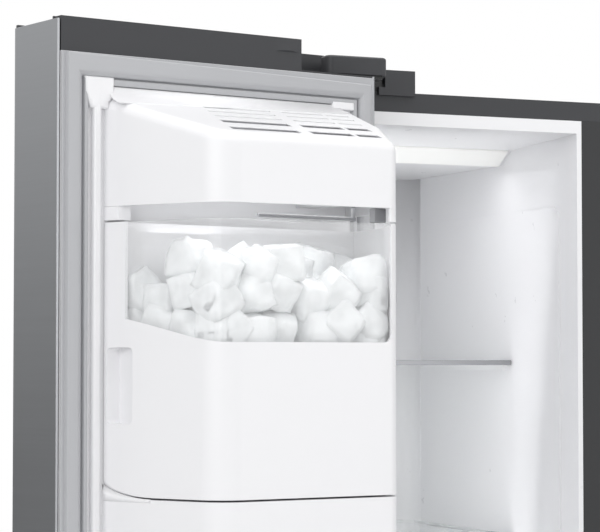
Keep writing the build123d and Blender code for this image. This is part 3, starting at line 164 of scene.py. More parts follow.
gloss = add_node(tree, "ShaderNodeMapRange", [(grain.outputs["Fac"], "Value")],
                 To_Min=GRAIN_GLOSS[0], To_Max=GRAIN_GLOSS[1])
tree.links.new(gloss.outputs["Result"], shader.inputs["Roughness"])
tilt = add_node(tree, "ShaderNodeBump", [(grain.outputs["Fac"], "Height")],
                Strength=0.06, Distance=0.1 * MM)
tree.links.new(tilt.outputs["Normal"], shader.inputs["Normal"])
print("stainless grain", GRAIN_TALL / MM, "mm tall")

# %% [markdown]
# ## Moulded and painted surfaces
# White polystyrene sheet is heated and drawn into a mould to make the liners, which leaves a faint, slow
# ripple. The ice maker's housing and bucket are injection moulded ABS, a little smoother. The dark caps are
# ABS with a fine spark-eroded texture, and the cabinet is steel with a dark powder paint whose orange peel
# is a few millimetres wide. All are the same recipe: a noise at the real size of the texture, driving a slight
# bump and a slight change in gloss. A table holds what differs.

# %% Textured finishes
TEXTURED = {
    # name: (hex, roughness, change in roughness, IOR, texture size in mm, bump in mm)
    # liners: a drawn sheet with a broad, soft sheen
    "white_polystyrene_liner": ("#eeeef0", 0.30, 0.06, 1.59, 24.0, 0.05),
    # housing, bucket and covers: moulded, flatter and a little duller
    "white_abs_moulding": ("#f1f1f3", 0.34, 0.05, 1.54, 18.0, 0.03),
    # caps and hinge covers, then the cabinet: fine texture that breaks up what they mirror
    "dark_textured_abs": ("#37383b", 0.50, 0.10, 1.50, 1.6, 0.05),
    "dark_powder_paint": ("#37383b", 0.48, 0.08, 1.48, 2.4, 0.05),
    # nearly black mouldings, and the one glossy panel on the dispenser; on the mullion cover the near black is
    # painted shade for the dim strip between the doors
    "black_textured_abs_and_painted_shade": ("#242527", 0.50, 0.10, 1.54, 1.6, 0.05),
    "black_acrylic_panel": ("#0e0f10", 0.12, 0.04, 1.49, 40.0, 0.01),
    # trims and moving pieces of the ice maker: waxy, between dull and glossy; on the white ice level arm the grey
    # is painted shade for the dark gap under the housing
    "grey_polypropylene_and_painted_shade": ("#8b8c8f", 0.42, 0.08, 1.49, 3.0, 0.03),
    "pale_polypropylene": ("#dcddde", 0.42, 0.08, 1.49, 3.0, 0.03),
    # soft seals: dull, so that their folds show by shade alone
    "grey_pvc_seal": ("#b6b7ba", 0.55, 0.10, 1.53, 2.0, 0.06),
    # hinges and compressor, then the foam inside the walls, all pores; on the hinges the black is painted shade
    # for the dark recess under the hinge covers
    "satin_black_paint_and_painted_shade": ("#1b1c1d", 0.40, 0.10, 1.50, 3.0, 0.05),
    "polyurethane_foam": ("#d9c79a", 0.90, 0.05, 1.45, 4.0, 0.40),
}
TEXTURE_STRENGTH = 0.35


def textured(name):
    """A plastic or paint whose gloss and surface follow one noise at its real size."""
    code, rough, change, ior, size, bump = TEXTURED[name]
    made, tree, shader = finish(name, code, Roughness=rough, IOR=ior)
    place = add_node(tree, "ShaderNodeTexCoord")
    speckle = add_node(tree, "ShaderNodeTexNoise", [(place.outputs["Object"], "Vector")],
                       Scale=1 / (size * MM), Detail=3.0, Roughness=0.55)
    spread = add_node(tree, "ShaderNodeMapRange", [(speckle.outputs["Fac"], "Value")],
                      To_Min=rough - change, To_Max=rough + change)
    tree.links.new(spread.outputs["Result"], shader.inputs["Roughness"])
    relief = add_node(tree, "ShaderNodeBump", [(speckle.outputs["Fac"], "Height")],
                      Strength=TEXTURE_STRENGTH, Distance=bump * MM)
    tree.links.new(relief.outputs["Normal"], shader.inputs["Normal"])
    return made


plain = {name: textured(name) for name in TEXTURED}
print("made", len(plain), "textured finishes")

# %% [markdown]
# ## Bare metals
# The sheets of the chassis are steel with a zinc coat, which shows as soft grey patches called spangle,
# about 12 mm across. The cooling fins are mill finish aluminium, and wire and pins are bright drawn steel,
# whose sheen varies in smaller patches. So one recipe serves all three: cells of the real size change the
# gloss.

# %% Bare metals
METALS = {
    # name: (hex, roughness, size of its pattern in mm)
    "zinc_coated_steel": ("#b3b6b8", 0.42, 12.0),
    "mill_finish_aluminium": ("#cfd1d3", 0.35, 5.0),
    "bright_drawn_steel": ("#c6c8ca", 0.20, 4.0),
}
SPANGLE_GLOSS = (-0.10, 0.12)
for name, (code, rough, size) in METALS.items():
    made, tree, shader = finish(name, code, Metallic=1.0, Roughness=rough)
    place = add_node(tree, "ShaderNodeTexCoord")
    spangle = add_node(tree, "ShaderNodeTexVoronoi", [(place.outputs["Object"], "Vector")],
                       Scale=1 / (size * MM))
    spread = add_node(tree, "ShaderNodeMapRange", [(spangle.outputs["Distance"], "Value")],
                      To_Min=rough + SPANGLE_GLOSS[0], To_Max=rough + SPANGLE_GLOSS[1])
    tree.links.new(spread.outputs["Result"], shader.inputs["Roughness"])
    plain[name] = made
print("made", len(METALS), "bare metals")

# %% [markdown]
# ## Clear pieces, lamp lens and ice
# The bucket's window, the bins and the drawers are clear styrene, and the shelves are toughened glass with
# the faint green that iron gives it. Their gloss is very even, with only a slow waviness. The bucket's
# window is misted by the cold, so a part of the light that meets it is scattered as a milky veil. The
# lamp's lens is frosted and glows a little. Ice is clear at its skin and cloudy inside, where trapped air
# froze last, so its clearness follows a noise about 24 mm wide.

# %% Clear pieces
CLEAR = {
    # name: (hex, roughness, IOR, waviness in mm, share of light that doesn't pass straight through,
    # how much of that share is clear rather than milky)
    "clear_styrene": ("#f8fbfb", 0.05, 1.59, 60.0, 0.10, 1.0),
    "cold_misted_styrene": ("#fbfcfd", 0.08, 1.59, 60.0, 0.20, 0.5),
    "toughened_glass": ("#e2efe9", 0.03, 1.52, 90.0, 0.40, 1.0),
}
for name, (code, rough, ior, size, share, clear) in CLEAR.items():
    made, tree, shader = finish(name, code, Roughness=rough, IOR=ior,
                                Transmission_Weight=clear, Alpha=share)
    place = add_node(tree, "ShaderNodeTexCoord")
    wave = add_node(tree, "ShaderNodeTexNoise", [(place.outputs["Object"], "Vector")],
                    Scale=1 / (size * MM))
    relief = add_node(tree, "ShaderNodeBump", [(wave.outputs["Fac"], "Height")],
                      Strength=0.2, Distance=0.1 * MM)
    tree.links.new(relief.outputs["Normal"], shader.inputs["Normal"])
    plain[name] = made
print("made", len(CLEAR), "clear finishes")

# %% Lamp lens
FROST_SIZE = 1.5
lens, tree, shader = finish("frosted_lamp_lens", "#f4f4f2", Roughness=0.45, IOR=1.49, Emission_Strength=0.02)
shader.inputs["Emission Color"].default_value = linear("#ffffff")
place = add_node(tree, "ShaderNodeTexCoord")
frost = add_node(tree, "ShaderNodeTexNoise", [(place.outputs["Object"], "Vector")],
                 Scale=1 / (FROST_SIZE * MM))
relief = add_node(tree, "ShaderNodeBump", [(frost.outputs["Fac"], "Height")],
                  Strength=0.3, Distance=0.1 * MM)
tree.links.new(relief.outputs["Normal"], shader.inputs["Normal"])
print("made", lens.name)

# %% Ice
CLOUD_SIZE = 24.0
MOST_CLEAR = 0.20
ice, tree, shader = finish("cloudy_ice", "#fbfdfe", Roughness=0.08, IOR=1.31, Transmission_Weight=0.1,
                           Coat_Weight=0.5)
place = add_node(tree, "ShaderNodeTexCoord")
cloud = add_node(tree, "ShaderNodeTexNoise", [(place.outputs["Object"], "Vector")],
                 Scale=1 / (CLOUD_SIZE * MM), Detail=2.0)
clearness = add_node(tree, "ShaderNodeMapRange", [(cloud.outputs["Fac"], "Value")],
                     From_Min=0.40, From_Max=0.68, To_Min=0.0, To_Max=MOST_CLEAR)
tree.links.new(clearness.outputs["Result"], shader.inputs["Transmission Weight"])
relief = add_node(tree, "ShaderNodeBump", [(cloud.outputs["Fac"], "Height")],
                  Strength=0.3, Distance=1.0 * MM)
tree.links.new(relief.outputs["Normal"], shader.inputs["Normal"])
print("made", ice.name)

# %% [markdown]
# ## Dressing the frame
# The record names a material slot for every node, so the finishes above go on by slot. A moulded edge is
# never knife sharp: welding the mesh, rounding its hard edges by a small radius and weighting its normals
# by face area gives each piece the thin bright line along its edges that makes it look solid. The usual
# radius suits thin sheet, and a table gives the thicker mouldings a larger one.

# %% Finishes by slot
FINISHES = {
    "stainless": stainless, "painted_case": plain["dark_powder_paint"],
    "zinc_sheet": plain["zinc_coated_steel"],
    "foam": plain["polyurethane_foam"], "white_liner": plain["white_polystyrene_liner"],
    "white_plastic": plain["white_abs_moulding"], "dark_plastic": plain["dark_textured_abs"],
    "black_plastic": plain["black_textured_abs_and_painted_shade"], "gloss_black": plain["black_acrylic_panel"],
    "grey_trim": plain["grey_polypropylene_and_painted_shade"], "gasket_vinyl": plain["grey_pvc_seal"],
    "clear_plastic": plain["clear_styrene"], "lamp_lens": lens, "shelf_glass": plain["toughened_glass"],
    "ice": ice,
    "bare_aluminium": plain["mill_finish_aluminium"], "black_paint": plain["satin_black_paint_and_painted_shade"],
    "bare_steel": plain["bright_drawn_steel"],
}
# Pieces that don't look like the rest of their slot
OWN_FINISHES = {
    "ice_tray": plain["pale_polypropylene"], "ice_maker_drive": plain["pale_polypropylene"],
    # the ice level arm is white, and its grey here is painted shade for the dark gap under the housing
    "dispenser_paddle": plain["pale_polypropylene"], "ice_level_arm": plain["grey_polypropylene_and_painted_shade"],
    # the hinges' black is painted shade for the dark recess under the hinge covers
    "door_hinges": plain["satin_black_paint_and_painted_shade"],
    # the mullion cover's near black is painted shade, darker than the cabinet's paint because less light reaches
    # it
    "mullion_cover": plain["black_textured_abs_and_painted_shade"], "bucket_window": plain["cold_misted_styrene"],
}
print(len(FINISHES), "slots and", len(OWN_FINISHES), "pieces have a finish")

# %% Dress the nodes and round their edges
EDGE_RADIUS = 0.35
EDGE_ANGLE = 38.0
ROUNDING = {
    # radius in mm where it isn't the usual one
    "hinge_covers": 2.0, "freezer_door_top_cap": 1.2, "freezer_door_bottom_cap": 1.2, "fridge_door_caps": 1.2,
    "freezer_liner": 1.8, "fridge_liner": 1.8, "ice_bucket": 0.9,
    "dispenser_back_cover": 1.0, "dispenser_recess": 0.8, "shelf_glasses": 0.8, "compressor": 1.5,
}


def round_edges(piece, radius):
    """Weld, bevel and weight the normals without touching the piece's own mesh points."""
    for polygon in piece.data.polygons:
        polygon.use_smooth = True
    normals = piece.data.attributes.get("custom_normal")
    if normals:
        piece.data.attributes.remove(normals)
    weld = piece.modifiers.new("weld", "WELD")
    weld.merge_threshold = 0.01 * MM
    bevel = piece.modifiers.new("edge_radius", "BEVEL")
    bevel.width = radius * MM
    bevel.segments = 2
    bevel.limit_method = "ANGLE"
    bevel.angle_limit = math.radians(EDGE_ANGLE)
    bevel.use_clamp_overlap = True
    piece.modifiers.new("weighted_normals", "WEIGHTED_NORMAL")


for name, piece in nodes.items():
    piece.data.materials.clear()
    piece.data.materials.append(OWN_FINISHES.get(name) or FINISHES[slot_of[name]])
    round_edges(piece, ROUNDING.get(name, EDGE_RADIUS))
print("dressed", len(nodes), "nodes")

# %% [markdown]
# ## Door seals
# A door seal is a soft extruded strip, welded at the corners: a thin foot in a groove of the liner, a fat
# hollow part that holds the magnet, and a thin lip towards the inside. A plain solid frame shows none of
# those folds. So the strip's section is drawn once, as distances in from the door's edge and out from its
# face, and carried round the door. On the hinge side the fat part is narrower, so that it clears the
# cabinet as the door swings.

# %% Seals
SEAL_SECTION = [
    # (in from the free edge, in on the hinge side, in at top and bottom, out from the face), all in mm
    (4.5, 2.9, 0.5, 0.0), (4.5, 2.9, 0.5, 1.6), (5.0, 3.4, 0.7, 2.2), (7.4, 4.6, 0.8, 2.4),
    (7.9, 5.4, 0.9, 2.3), (8.4, 6.0, 1.0, 2.5), (8.6, 7.5, 1.1, 5.6), (9.2, 9.5, 1.4, 7.4),
    (10.6, 12.5, 2.4, 8.3), (14.5, 16.0, 13.5, 8.6), (19.0, 19.5, 17.2, 9.0), (21.0, 21.5, 19.6, 8.5),
    (24.2, 23.6, 23.0, 6.6), (25.4, 24.8, 24.0, 4.6), (25.9, 25.4, 24.3, 1.6), (28.2, 27.4, 25.4, 1.4),
    (28.5, 27.8, 25.6, 4.2), (29.0, 28.3, 26.2, 5.5), (30.0, 29.2, 27.2, 6.0), (31.6, 31.0, 31.4, 6.0),
    (32.7, 32.3, 32.2, 5.4), (33.2, 33.0, 32.5, 4.2), (33.2, 33.0, 32.5, 0.0),
]
SEAL_LOW, SEAL_HIGH = 90.0, 1745.0
# By the top hinge the fat part keeps lower, to pass under the hinge cover when the door is shut
HINGE_DROP, SEAL_FOOT = 7.0, 2.45
print("the seal's section has", len(SEAL_SECTION), "points")


# %% Making a piece from points
def mesh_piece(name, points, faces, finish_of, body):
    """A new piece from points and faces, dressed and riding on a body."""
    made = bpy.data.meshes.new(name)
    made.from_pydata([tuple(p) for p in points], [], faces)
    made.update()
    for polygon in made.polygons:
        polygon.use_smooth = True
    made.materials.append(finish_of)
    piece = bpy.data.objects.new(name, made)
    bpy.context.scene.collection.objects.link(piece)
    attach(piece, body)
    return piece


def outward(piece):
    """Turn every face of a closed piece outward."""
    bm = bmesh.new()
    bm.from_mesh(piece.data)
    bmesh.ops.recalc_face_normals(bm, faces=bm.faces)
    bm.to_mesh(piece.data)
    bm.free()


print("ready to make pieces from points")

# %% Carry the section round each door
SEAL_RADIUS = 0.25
for door in ("freezer", "fridge"):
    width = WIDTHS[door] / MM
    points, faces = [], []
    for inset, hinge_inset, end_inset, out in SEAL_SECTION:
        low, high = SEAL_LOW + end_inset, SEAL_HIGH - end_inset
        drop = HINGE_DROP if SEAL_FOOT < out and end_inset < HINGE_DROP else 0.0
        corners = [(hinge_inset, low), (width - inset, low), (width - inset, high),
                   (hinge_inset, high - drop)]
        points += [on_door(door, across, out, height) for across, height in corners]
    for row in range(len(SEAL_SECTION)):
        following = (row + 1) % len(SEAL_SECTION)
        for side in range(4):
            ahead = (side + 1) % 4
            faces.append((4 * row + side, 4 * row + ahead, 4 * following + ahead, 4 * following + side))
    seal = mesh_piece(door + "_door_seal", points, faces, plain["grey_pvc_seal"], door + "_door")
    outward(seal)
    round_edges(seal, SEAL_RADIUS)
    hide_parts(door + "_door_gasket")
    print(seal.name, len(points), "points")

# %% [markdown]
# ## Ice
# The maker drops cubes that melt a little, stick and freeze again, so no two are alike. Each lump here
# starts as a cube, is pushed towards a ball to round its edges, and gets a slow noise so that its faces
# dent. The lumps lie along the bucket's walls and in rows between them, with seeded shifts and turns. Points
# are pressed back from the walls that the camera sees. Nothing holds them on the side towards the door or at
# the bottom, so out of sight some lumps run through the bucket's back into the door's liner. All are one
# piece.

# %% Room in the bucket
# The bucket's walls in plan, as (span from the free edge, distance out) in mm
BUCKET_PLAN = [(54.0, 0.0), (65.0, 38.0), (104.0, 136.0), (308.0, 150.0), (345.0, 82.0), (357.0, 10.0)]
WALL_AIR = 7.0
# Below this height the hollow of the hand grip reaches in to this span
GRIP_TOP, GRIP_INSIDE = 1456.0, 80.0


def room(span, reach):
    """Least distance in plan from a place in the bucket to its outer walls."""
    gaps = []
    for (a, b), (c, d) in zip(BUCKET_PLAN, BUCKET_PLAN[1:]):
        gaps.append(((span - a) * (d - b) - (reach - b) * (c - a)) / math.hypot(c - a, d - b))
    return min(gaps)


def inside(place):
    """A place moved in from the front and side walls, where it is nearer to them than a little air."""
    moved = place.copy()
    for (a, b), (c, d) in zip(BUCKET_PLAN, BUCKET_PLAN[1:]):
        length = math.hypot(c - a, d - b)
        push = Vector(((d - b) / length, -(c - a) / length, 0.0))
        short = WALL_AIR - push.dot(moved - Vector((a, b, 0.0)))
        if short > 0:
            moved += push * short
    if moved.z < GRIP_TOP:
        moved.x = max(moved.x, GRIP_INSIDE)
    return moved


print("room in the bucket's middle", round(room(200.0, 70.0), 1), "mm")

# %% One lump of ice
random.seed(7)
LUMP_CUTS = 5
BALL_RADIUS, ROUNDNESS = 0.62, 0.36
DENT, DENT_SCALE = 0.10, 2.2
FULL_TURN, MOST_TIP = 6.28, 0.5


def lump(size, spot, seed):
    """Points and faces of one rounded, dented cube in the bucket, pressed back from front and sides."""
    bm = bmesh.new()
    bmesh.ops.create_cube(bm, size=1.0)
    bmesh.ops.subdivide_edges(bm, edges=bm.edges, cuts=LUMP_CUTS, use_grid_fill=True)
    angle = random.uniform(0, FULL_TURN)
    turn = Matrix.Rotation(angle, 3, (random.random() - 0.5, random.random() - 0.5, 1.0))
    tip = Matrix.Rotation(random.uniform(-MOST_TIP, MOST_TIP), 3, "X")
    for vertex in bm.verts:
        ball = vertex.co.normalized() * BALL_RADIUS
        shape = vertex.co.lerp(ball, ROUNDNESS)
        shape += shape.normalized() * DENT * noise.noise(shape * DENT_SCALE + Vector((seed, 0, 0)))
        vertex.co = turn @ (tip @ shape) * size
    bm.verts.index_update()
    points = [from_free(*inside(spot + vertex.co)) for vertex in bm.verts]
    faces = [tuple(v.index for v in face.verts) for face in bm.faces]
    bm.free()
    return points, faces


print("each lump has", 6 * (LUMP_CUTS + 1) ** 2, "faces")

# %% Places for the lumps
ICE_ROOM = 26.0
ICE_PITCH = 33.0
ICE_BACK, INNER_START, INNER_LINES, INNER_COUNT = 40.0, 86.0, 3, 8


def wall_spots():
    """Places in plan for lumps that lie against the bucket's outer walls."""
    spots = []
    for (a, b), (c, d) in zip(BUCKET_PLAN, BUCKET_PLAN[1:]):
        length = math.hypot(c - a, d - b)
        steps = max(1, round(length / ICE_PITCH))
        for k in range(steps):
            share = (k + 0.5) / steps
            spot = (a + (c - a) * share + ICE_ROOM * (d - b) / length,
                    b + (d - b) * share - ICE_ROOM * (c - a) / length)
            if room(*spot) > ICE_ROOM - 1.0:
                spots.append(spot)
    return spots


inner = [(INNER_START + ICE_PITCH * (i + 0.5 * (line % 2)), ICE_BACK + 0.9 * ICE_PITCH * line)
         for line in range(INNER_LINES) for i in range(INNER_COUNT)]
layer = wall_spots() + [spot for spot in inner if room(*spot) > 2.0 * ICE_ROOM]
print(len(layer), "lumps to a layer")

# %% Heap of ice
ICE_LOW, ICE_ROWS = 1408.0, 5
ROW_RISE = 0.92
ICE_SIZES = (33, 40)
ICE_SHIFT = (5.0, 2.0, 8.0)
TOP_MISSING = 0.4
SEED_STEP = 3.1
points, faces = [], []
for row in range(ICE_ROWS):
    for span, reach in layer:
        if row == ICE_ROWS - 1 and random.random() < TOP_MISSING:
            continue
        shift = [random.uniform(-w, w) for w in ICE_SHIFT]
        spot = Vector((span + shift[0], reach + shift[1], ICE_LOW + ROW_RISE * ICE_PITCH * row + shift[2]))
        some, sides = lump(random.uniform(*ICE_SIZES), spot, SEED_STEP * len(points))
        faces += [tuple(k + len(points) for k in side) for side in sides]
        points += some
heap = mesh_piece("ice_heap", points, faces, ice, "ice_bucket")
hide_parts("ice_pile")
print("ice heap", len(points), "points")

# %% [markdown]
# ## Corner pads of the door liner
# At the two top corners of the freezer door's liner the drawn sheet rises in a small flat pad that covers
# the end of the seal's inner lip. They are thin moulded details, so they are made here.

# %% Corner pads
PAD_OUT = 6.9
PAD_SOFT = 3.0
SOFT_EDGE = 0.8
PADS = (
    # outlines as (span from the free edge, height)
    [(28.6, 1721.3), (62.5, 1721.3), (62.5, 1702.0), (57.0, 1695.0), (56.0, 1689.0), (36.0, 1689.0),
     (28.6, 1706.0)],
    [(334.0, 1715.5), (364.5, 1715.5), (364.5, 1707.0), (334.0, 1707.0)],
)


def pad(outline):
    """Points and faces of a low pad: a foot, a side and a top that is drawn in."""
    middle = Vector((sum(s for s, z in outline), sum(z for s, z in outline))) / len(outline)
    points = []
    levels = ((0.0, 0.0), (PAD_OUT - PAD_SOFT, 0.0), (PAD_OUT - 0.3 * PAD_SOFT, 0.3), (PAD_OUT, 1.0))
    for rise, drawn in levels:
        for s, z in outline:
            inward = (middle - Vector((s, z))).normalized() * drawn * PAD_SOFT
            points.append(from_free(s + inward.x, rise, z + inward.y))
    count = len(outline)
    last = len(levels) - 1
    faces = [tuple(range(count)), tuple(range(last * count, (last + 1) * count))]
    for row in range(last):
        faces += [(row * count + k, row * count + (k + 1) % count, (row + 1) * count + (k + 1) % count,
                   (row + 1) * count + k) for k in range(count)]
    return points, faces


points, faces = [], []
for outline in PADS:
    some, sides = pad(outline)
    faces += [tuple(k + len(points) for k in side) for side in sides]
    points += some
pads = mesh_piece("liner_corner_pads", points, faces, plain["white_polystyrene_liner"], "freezer_door")
outward(pads)
round_edges(pads, SOFT_EDGE)
print("corner pads", len(points), "points")

# %% [markdown]
# ## Where the housing's roof meets the door
# The roof doesn't stop square against the door: the moulding sweeps up in a soft hollow to the seal's lip,
# all in the same white. A curve with three guide points, one on the roof, one in the corner and one under
# the lip, is carried along the door, so the light runs on from the roof without a break.

# %% Roof sweep
ROOF_FRONT, ROOF_SLOPE = 1657.8, 0.33
FRONT_ENDS = (Vector((104.0, 136.0)), Vector((308.0, 150.0)))
SWEEP_SPAN = (57.0, 345.0)
SWEEP_OUT = (26.0, 5.0, 4.0)
SWEEP_TOP = 1711.6
SWEEP_SAG = 2.0
SWEEP_STEPS = 8
# A sheet laid on another face stands off it by this much, and is this thick, in mm
LAID_ON, SHEET = 0.1, 1.0


def roof_height(span, out):
    """Height of the housing's roof, which rises back from its front face."""
    along = (FRONT_ENDS[1] - FRONT_ENDS[0]).normalized()
    behind = Vector((span, out)) - FRONT_ENDS[0]
    return ROOF_FRONT + ROOF_SLOPE * (behind.x * along.y - behind.y * along.x)


def thicken(piece, wall):
    """Give a sheet of faces a wall behind them."""
    sheet = piece.modifiers.new("sheet_wall", "SOLIDIFY")
    sheet.thickness = wall * MM
    sheet.offset = -1.0


points = []
for span in SWEEP_SPAN:
    guides = [Vector((SWEEP_OUT[0], roof_height(span, SWEEP_OUT[0]) + LAID_ON)),
              Vector((SWEEP_OUT[1], roof_height(span, SWEEP_OUT[1]) - SWEEP_SAG)),
              Vector((SWEEP_OUT[2], SWEEP_TOP))]
    for k in range(SWEEP_STEPS + 1):
        share = k / SWEEP_STEPS
        place = guides[0].lerp(guides[1], share).lerp(guides[1].lerp(guides[2], share), share)
        points.append(from_free(span, place.x, place.y))
faces = [(k, k + 1, k + SWEEP_STEPS + 2, k + SWEEP_STEPS + 1) for k in range(SWEEP_STEPS)]
sweep = mesh_piece("housing_roof_sweep", points, faces, plain["white_abs_moulding"], "freezer_door")
thicken(sweep, SHEET)
print("roof sweep", len(points), "points")

# %% [markdown]
# ## The cover's corner under the bucket
# The bucket's lower left corner is rounded, and the cover below rises to meet it, so that only a thin even
# line shows between them. The corner takes its plan from the cover's own top edge and its curve from the
# bucket's.

# %% The cover's rim
COVER_TOP, RIM_END = 1300.0, 140.0
cover = nodes["dispenser_back_cover"]
rim = [to_free(cover.matrix_world @ vertex.co) for vertex in cover.data.vertices]
rim = sorted((s, p) for s, p, z in rim if abs(z - COVER_TOP) < 0.05 and s < RIM_END and p > -0.5)
print("the rim has", len(rim), "points, from span", round(rim[0][0], 1), "to", round(rim[-1][0], 1))

# %% Cover corner
CORNER_ROUND, CORNER_SEAM, CORNER_FOOT = 20.0, 1.4, 3.0
CORNER_MIDDLE = (74.0, 1322.0)
CORNER_END, CORNER_STEPS = 88.0, 14


def rim_out(span):
    """How far the cover's rim stands out at a span, between its two nearest points."""
    for (s, p), (t, q) in zip(rim, rim[1:]):
        if s <= span <= t:
            return p + (q - p) * (span - s) / max(t - s, 0.001)
    return rim[-1][1]


reach = CORNER_ROUND + CORNER_SEAM
start = math.degrees(math.acos((CORNER_MIDDLE[0] - rim[0][0]) / reach))
angles = [math.radians(start + (CORNER_END - start) * k / CORNER_STEPS) for k in range(CORNER_STEPS + 1)]
spans = [CORNER_MIDDLE[0] - reach * math.cos(angle) for angle in angles]
points, faces = [], []
for span, angle in zip(spans, angles):
    out = rim_out(span) + LAID_ON
    high = CORNER_MIDDLE[1] - reach * math.sin(angle)
    points += [from_free(span, out, COVER_TOP - CORNER_FOOT), from_free(span, out, high),
               from_free(span, 0.0, high)]
for k in range(len(spans) - 1):
    faces += [(3 * k, 3 * k + 3, 3 * k + 4, 3 * k + 1), (3 * k + 1, 3 * k + 4, 3 * k + 5, 3 * k + 2)]
ear = mesh_piece("cover_corner", points, faces, plain["white_abs_moulding"], "freezer_door")
thicken(ear, SHEET)
print("cover corner", len(points), "points")

# %% [markdown]
# ## Ice sensor
# Under the housing's right end a small grey block looks across the bucket and stops the maker when the ice
# is high enough. It is a plain moulded block, so eight corners are enough and the edges are rounded after.

# %% Ice sensor
# span from the free edge, distance out and height, each from and to, in mm
SENSOR = ((291.0, 305.0), (128.0, 138.0), (1577.0, 1591.5))
points = [from_free(s, p, z) for z in SENSOR[2] for p in SENSOR[1] for s in SENSOR[0]]
faces = [(0, 1, 3, 2), (4, 6, 7, 5), (0, 4, 5, 1), (2, 3, 7, 6), (0, 2, 6, 4), (1, 5, 7, 3)]
sensor = mesh_piece("ice_sensor", points, faces, plain["grey_polypropylene_and_painted_shade"], "freezer_door")
outward(sensor)
round_edges(sensor, SOFT_EDGE)
print("ice sensor at", tuple(round(v, 3) for v in points[0]))

# %% [markdown]
# ## Rounded back corners of the freezer
# A liner is drawn from one warm sheet, and the sheet can't follow a sharp corner deep in the mould: it
# bridges it in a wide round. The frame has a square corner there, so a hollow quarter round is laid into it
# on each side.

# %% Back corner rounds
COVE, COVE_STEPS = 26.0, 12
THIN_SHEET = 0.6
COVE_LOW, COVE_HIGH = 812.0, 1684.0
# (place across the cabinet in mm, way in from it)
BACK_CORNERS = ((-90.0, -1), (-422.0, 1))
BACK = 135.0
points, faces = [], []
for corner, way in BACK_CORNERS:
    start = len(points)
    for height in (COVE_LOW, COVE_HIGH):
        for k in range(COVE_STEPS + 1):
            angle = math.radians(90 * k / COVE_STEPS)
            across = corner + way * COVE * (1 - math.sin(angle))
            points.append(Vector((across, BACK - COVE * (1 - math.cos(angle)), height)) * MM)
    faces += [(start + k, start + k + 1, start + k + COVE_STEPS + 2, start + k + COVE_STEPS + 1)
              for k in range(COVE_STEPS)]
coves = mesh_piece("freezer_back_rounds", points, faces, plain["white_polystyrene_liner"], "cabinet")
thicken(coves, THIN_SHEET)
print("back corner rounds", len(points), "points")

# %% [markdown]
# ## Studio
# The refrigerator stands on a plain pale floor of painted board, in an even pale surround. What the camera
# and the glass see of the surround is white. What the metal mirrors falls off to black below the horizon,
# as in a dark studio, and this gives the stainless edges their darker and lighter bands. A light path node
# tells the kinds of ray apart, so each gets its own surround.

# %% Floor
FLOOR_SIZE = 12.0
ROLLER_MARKS = 3.0
bpy.ops.mesh.primitive_plane_add(size=FLOOR_SIZE, location=(0, 0, 0))
floor = bpy.context.object
floor.name = "studio_floor"
pale, tree, shader = finish("pale_painted_board", "#f0f0f0", Roughness=0.8)
place = add_node(tree, "ShaderNodeTexCoord")
roller = add_node(tree, "ShaderNodeTexNoise", [(place.outputs["Object"], "Vector")],
                  Scale=1 / (ROLLER_MARKS * MM))
spread = add_node(tree, "ShaderNodeMapRange", [(roller.outputs["Fac"], "Value")], To_Min=0.74, To_Max=0.86)
tree.links.new(spread.outputs["Result"], shader.inputs["Roughness"])
floor.data.materials.append(pale)
print("floor", FLOOR_SIZE, "m wide")

# %% Surround
WHITE = (1, 1, 1, 1)
# Between these slopes of a ray the mirrored surround rises from black to its full strength
MIRROR_SLOPES, MIRROR_FULL = (-0.11, 0.31), 1.20
SOFT_LIGHT = 0.62
world = bpy.data.worlds.new("studio_surround")
bpy.context.scene.world = world
world.use_nodes = True
tree = world.node_tree
tree.nodes.clear()
place = add_node(tree, "ShaderNodeTexCoord")
split = add_node(tree, "ShaderNodeSeparateXYZ", [(place.outputs["Generated"], "Vector")])
fall = add_node(tree, "ShaderNodeMapRange", [(split.outputs["Z"], "Value")],
                From_Min=MIRROR_SLOPES[0], From_Max=MIRROR_SLOPES[1], To_Min=0.0, To_Max=MIRROR_FULL)
seen = add_node(tree, "ShaderNodeLightPath")
white = add_node(tree, "ShaderNodeBackground", Strength=1.0)
white.inputs["Color"].default_value = WHITE
mirrored = add_node(tree, "ShaderNodeBackground", [(fall.outputs["Result"], "Strength")])
mirrored.inputs["Color"].default_value = WHITE
soft = add_node(tree, "ShaderNodeBackground", Strength=SOFT_LIGHT)
soft.inputs["Color"].default_value = WHITE
gloss_mix = add_node(tree, "ShaderNodeMixShader", [(seen.outputs["Is Glossy Ray"], 0),
                                                    (soft.outputs[0], 1), (mirrored.outputs[0], 2)])
both = add_node(tree, "ShaderNodeMath", [(seen.outputs["Is Camera Ray"], 0),
                                          (seen.outputs["Is Transmission Ray"], 1)], operation="MAXIMUM")
all_mix = add_node(tree, "ShaderNodeMixShader", [(both.outputs[0], 0), (gloss_mix.outputs[0], 1),
                                                  (white.outputs[0], 2)])
add_node(tree, "ShaderNodeOutputWorld", [(all_mix.outputs[0], "Surface")])
print("surround", world.name, "gives", SOFT_LIGHT, "of soft light")

# %% [markdown]
# ## Lamps
# A large lamp gives soft shadows, so the studio's four are all wide: the main one high on the left, a
# weaker one on the right, a faint one low in front and one overhead. White plastic throws light about
# inside the two compartments and the ice maker, more than a few bounces can follow. So each of those rooms
# also gets weak lamps of its own, about as wide as the room, next to the lamp that the real cabinet has in
# its ceiling. They stay inside the shut doors, and those on the freezer door ride with it. The camera sees
# none of them, only their light, and the glass shelves don't mirror those that stand between them.

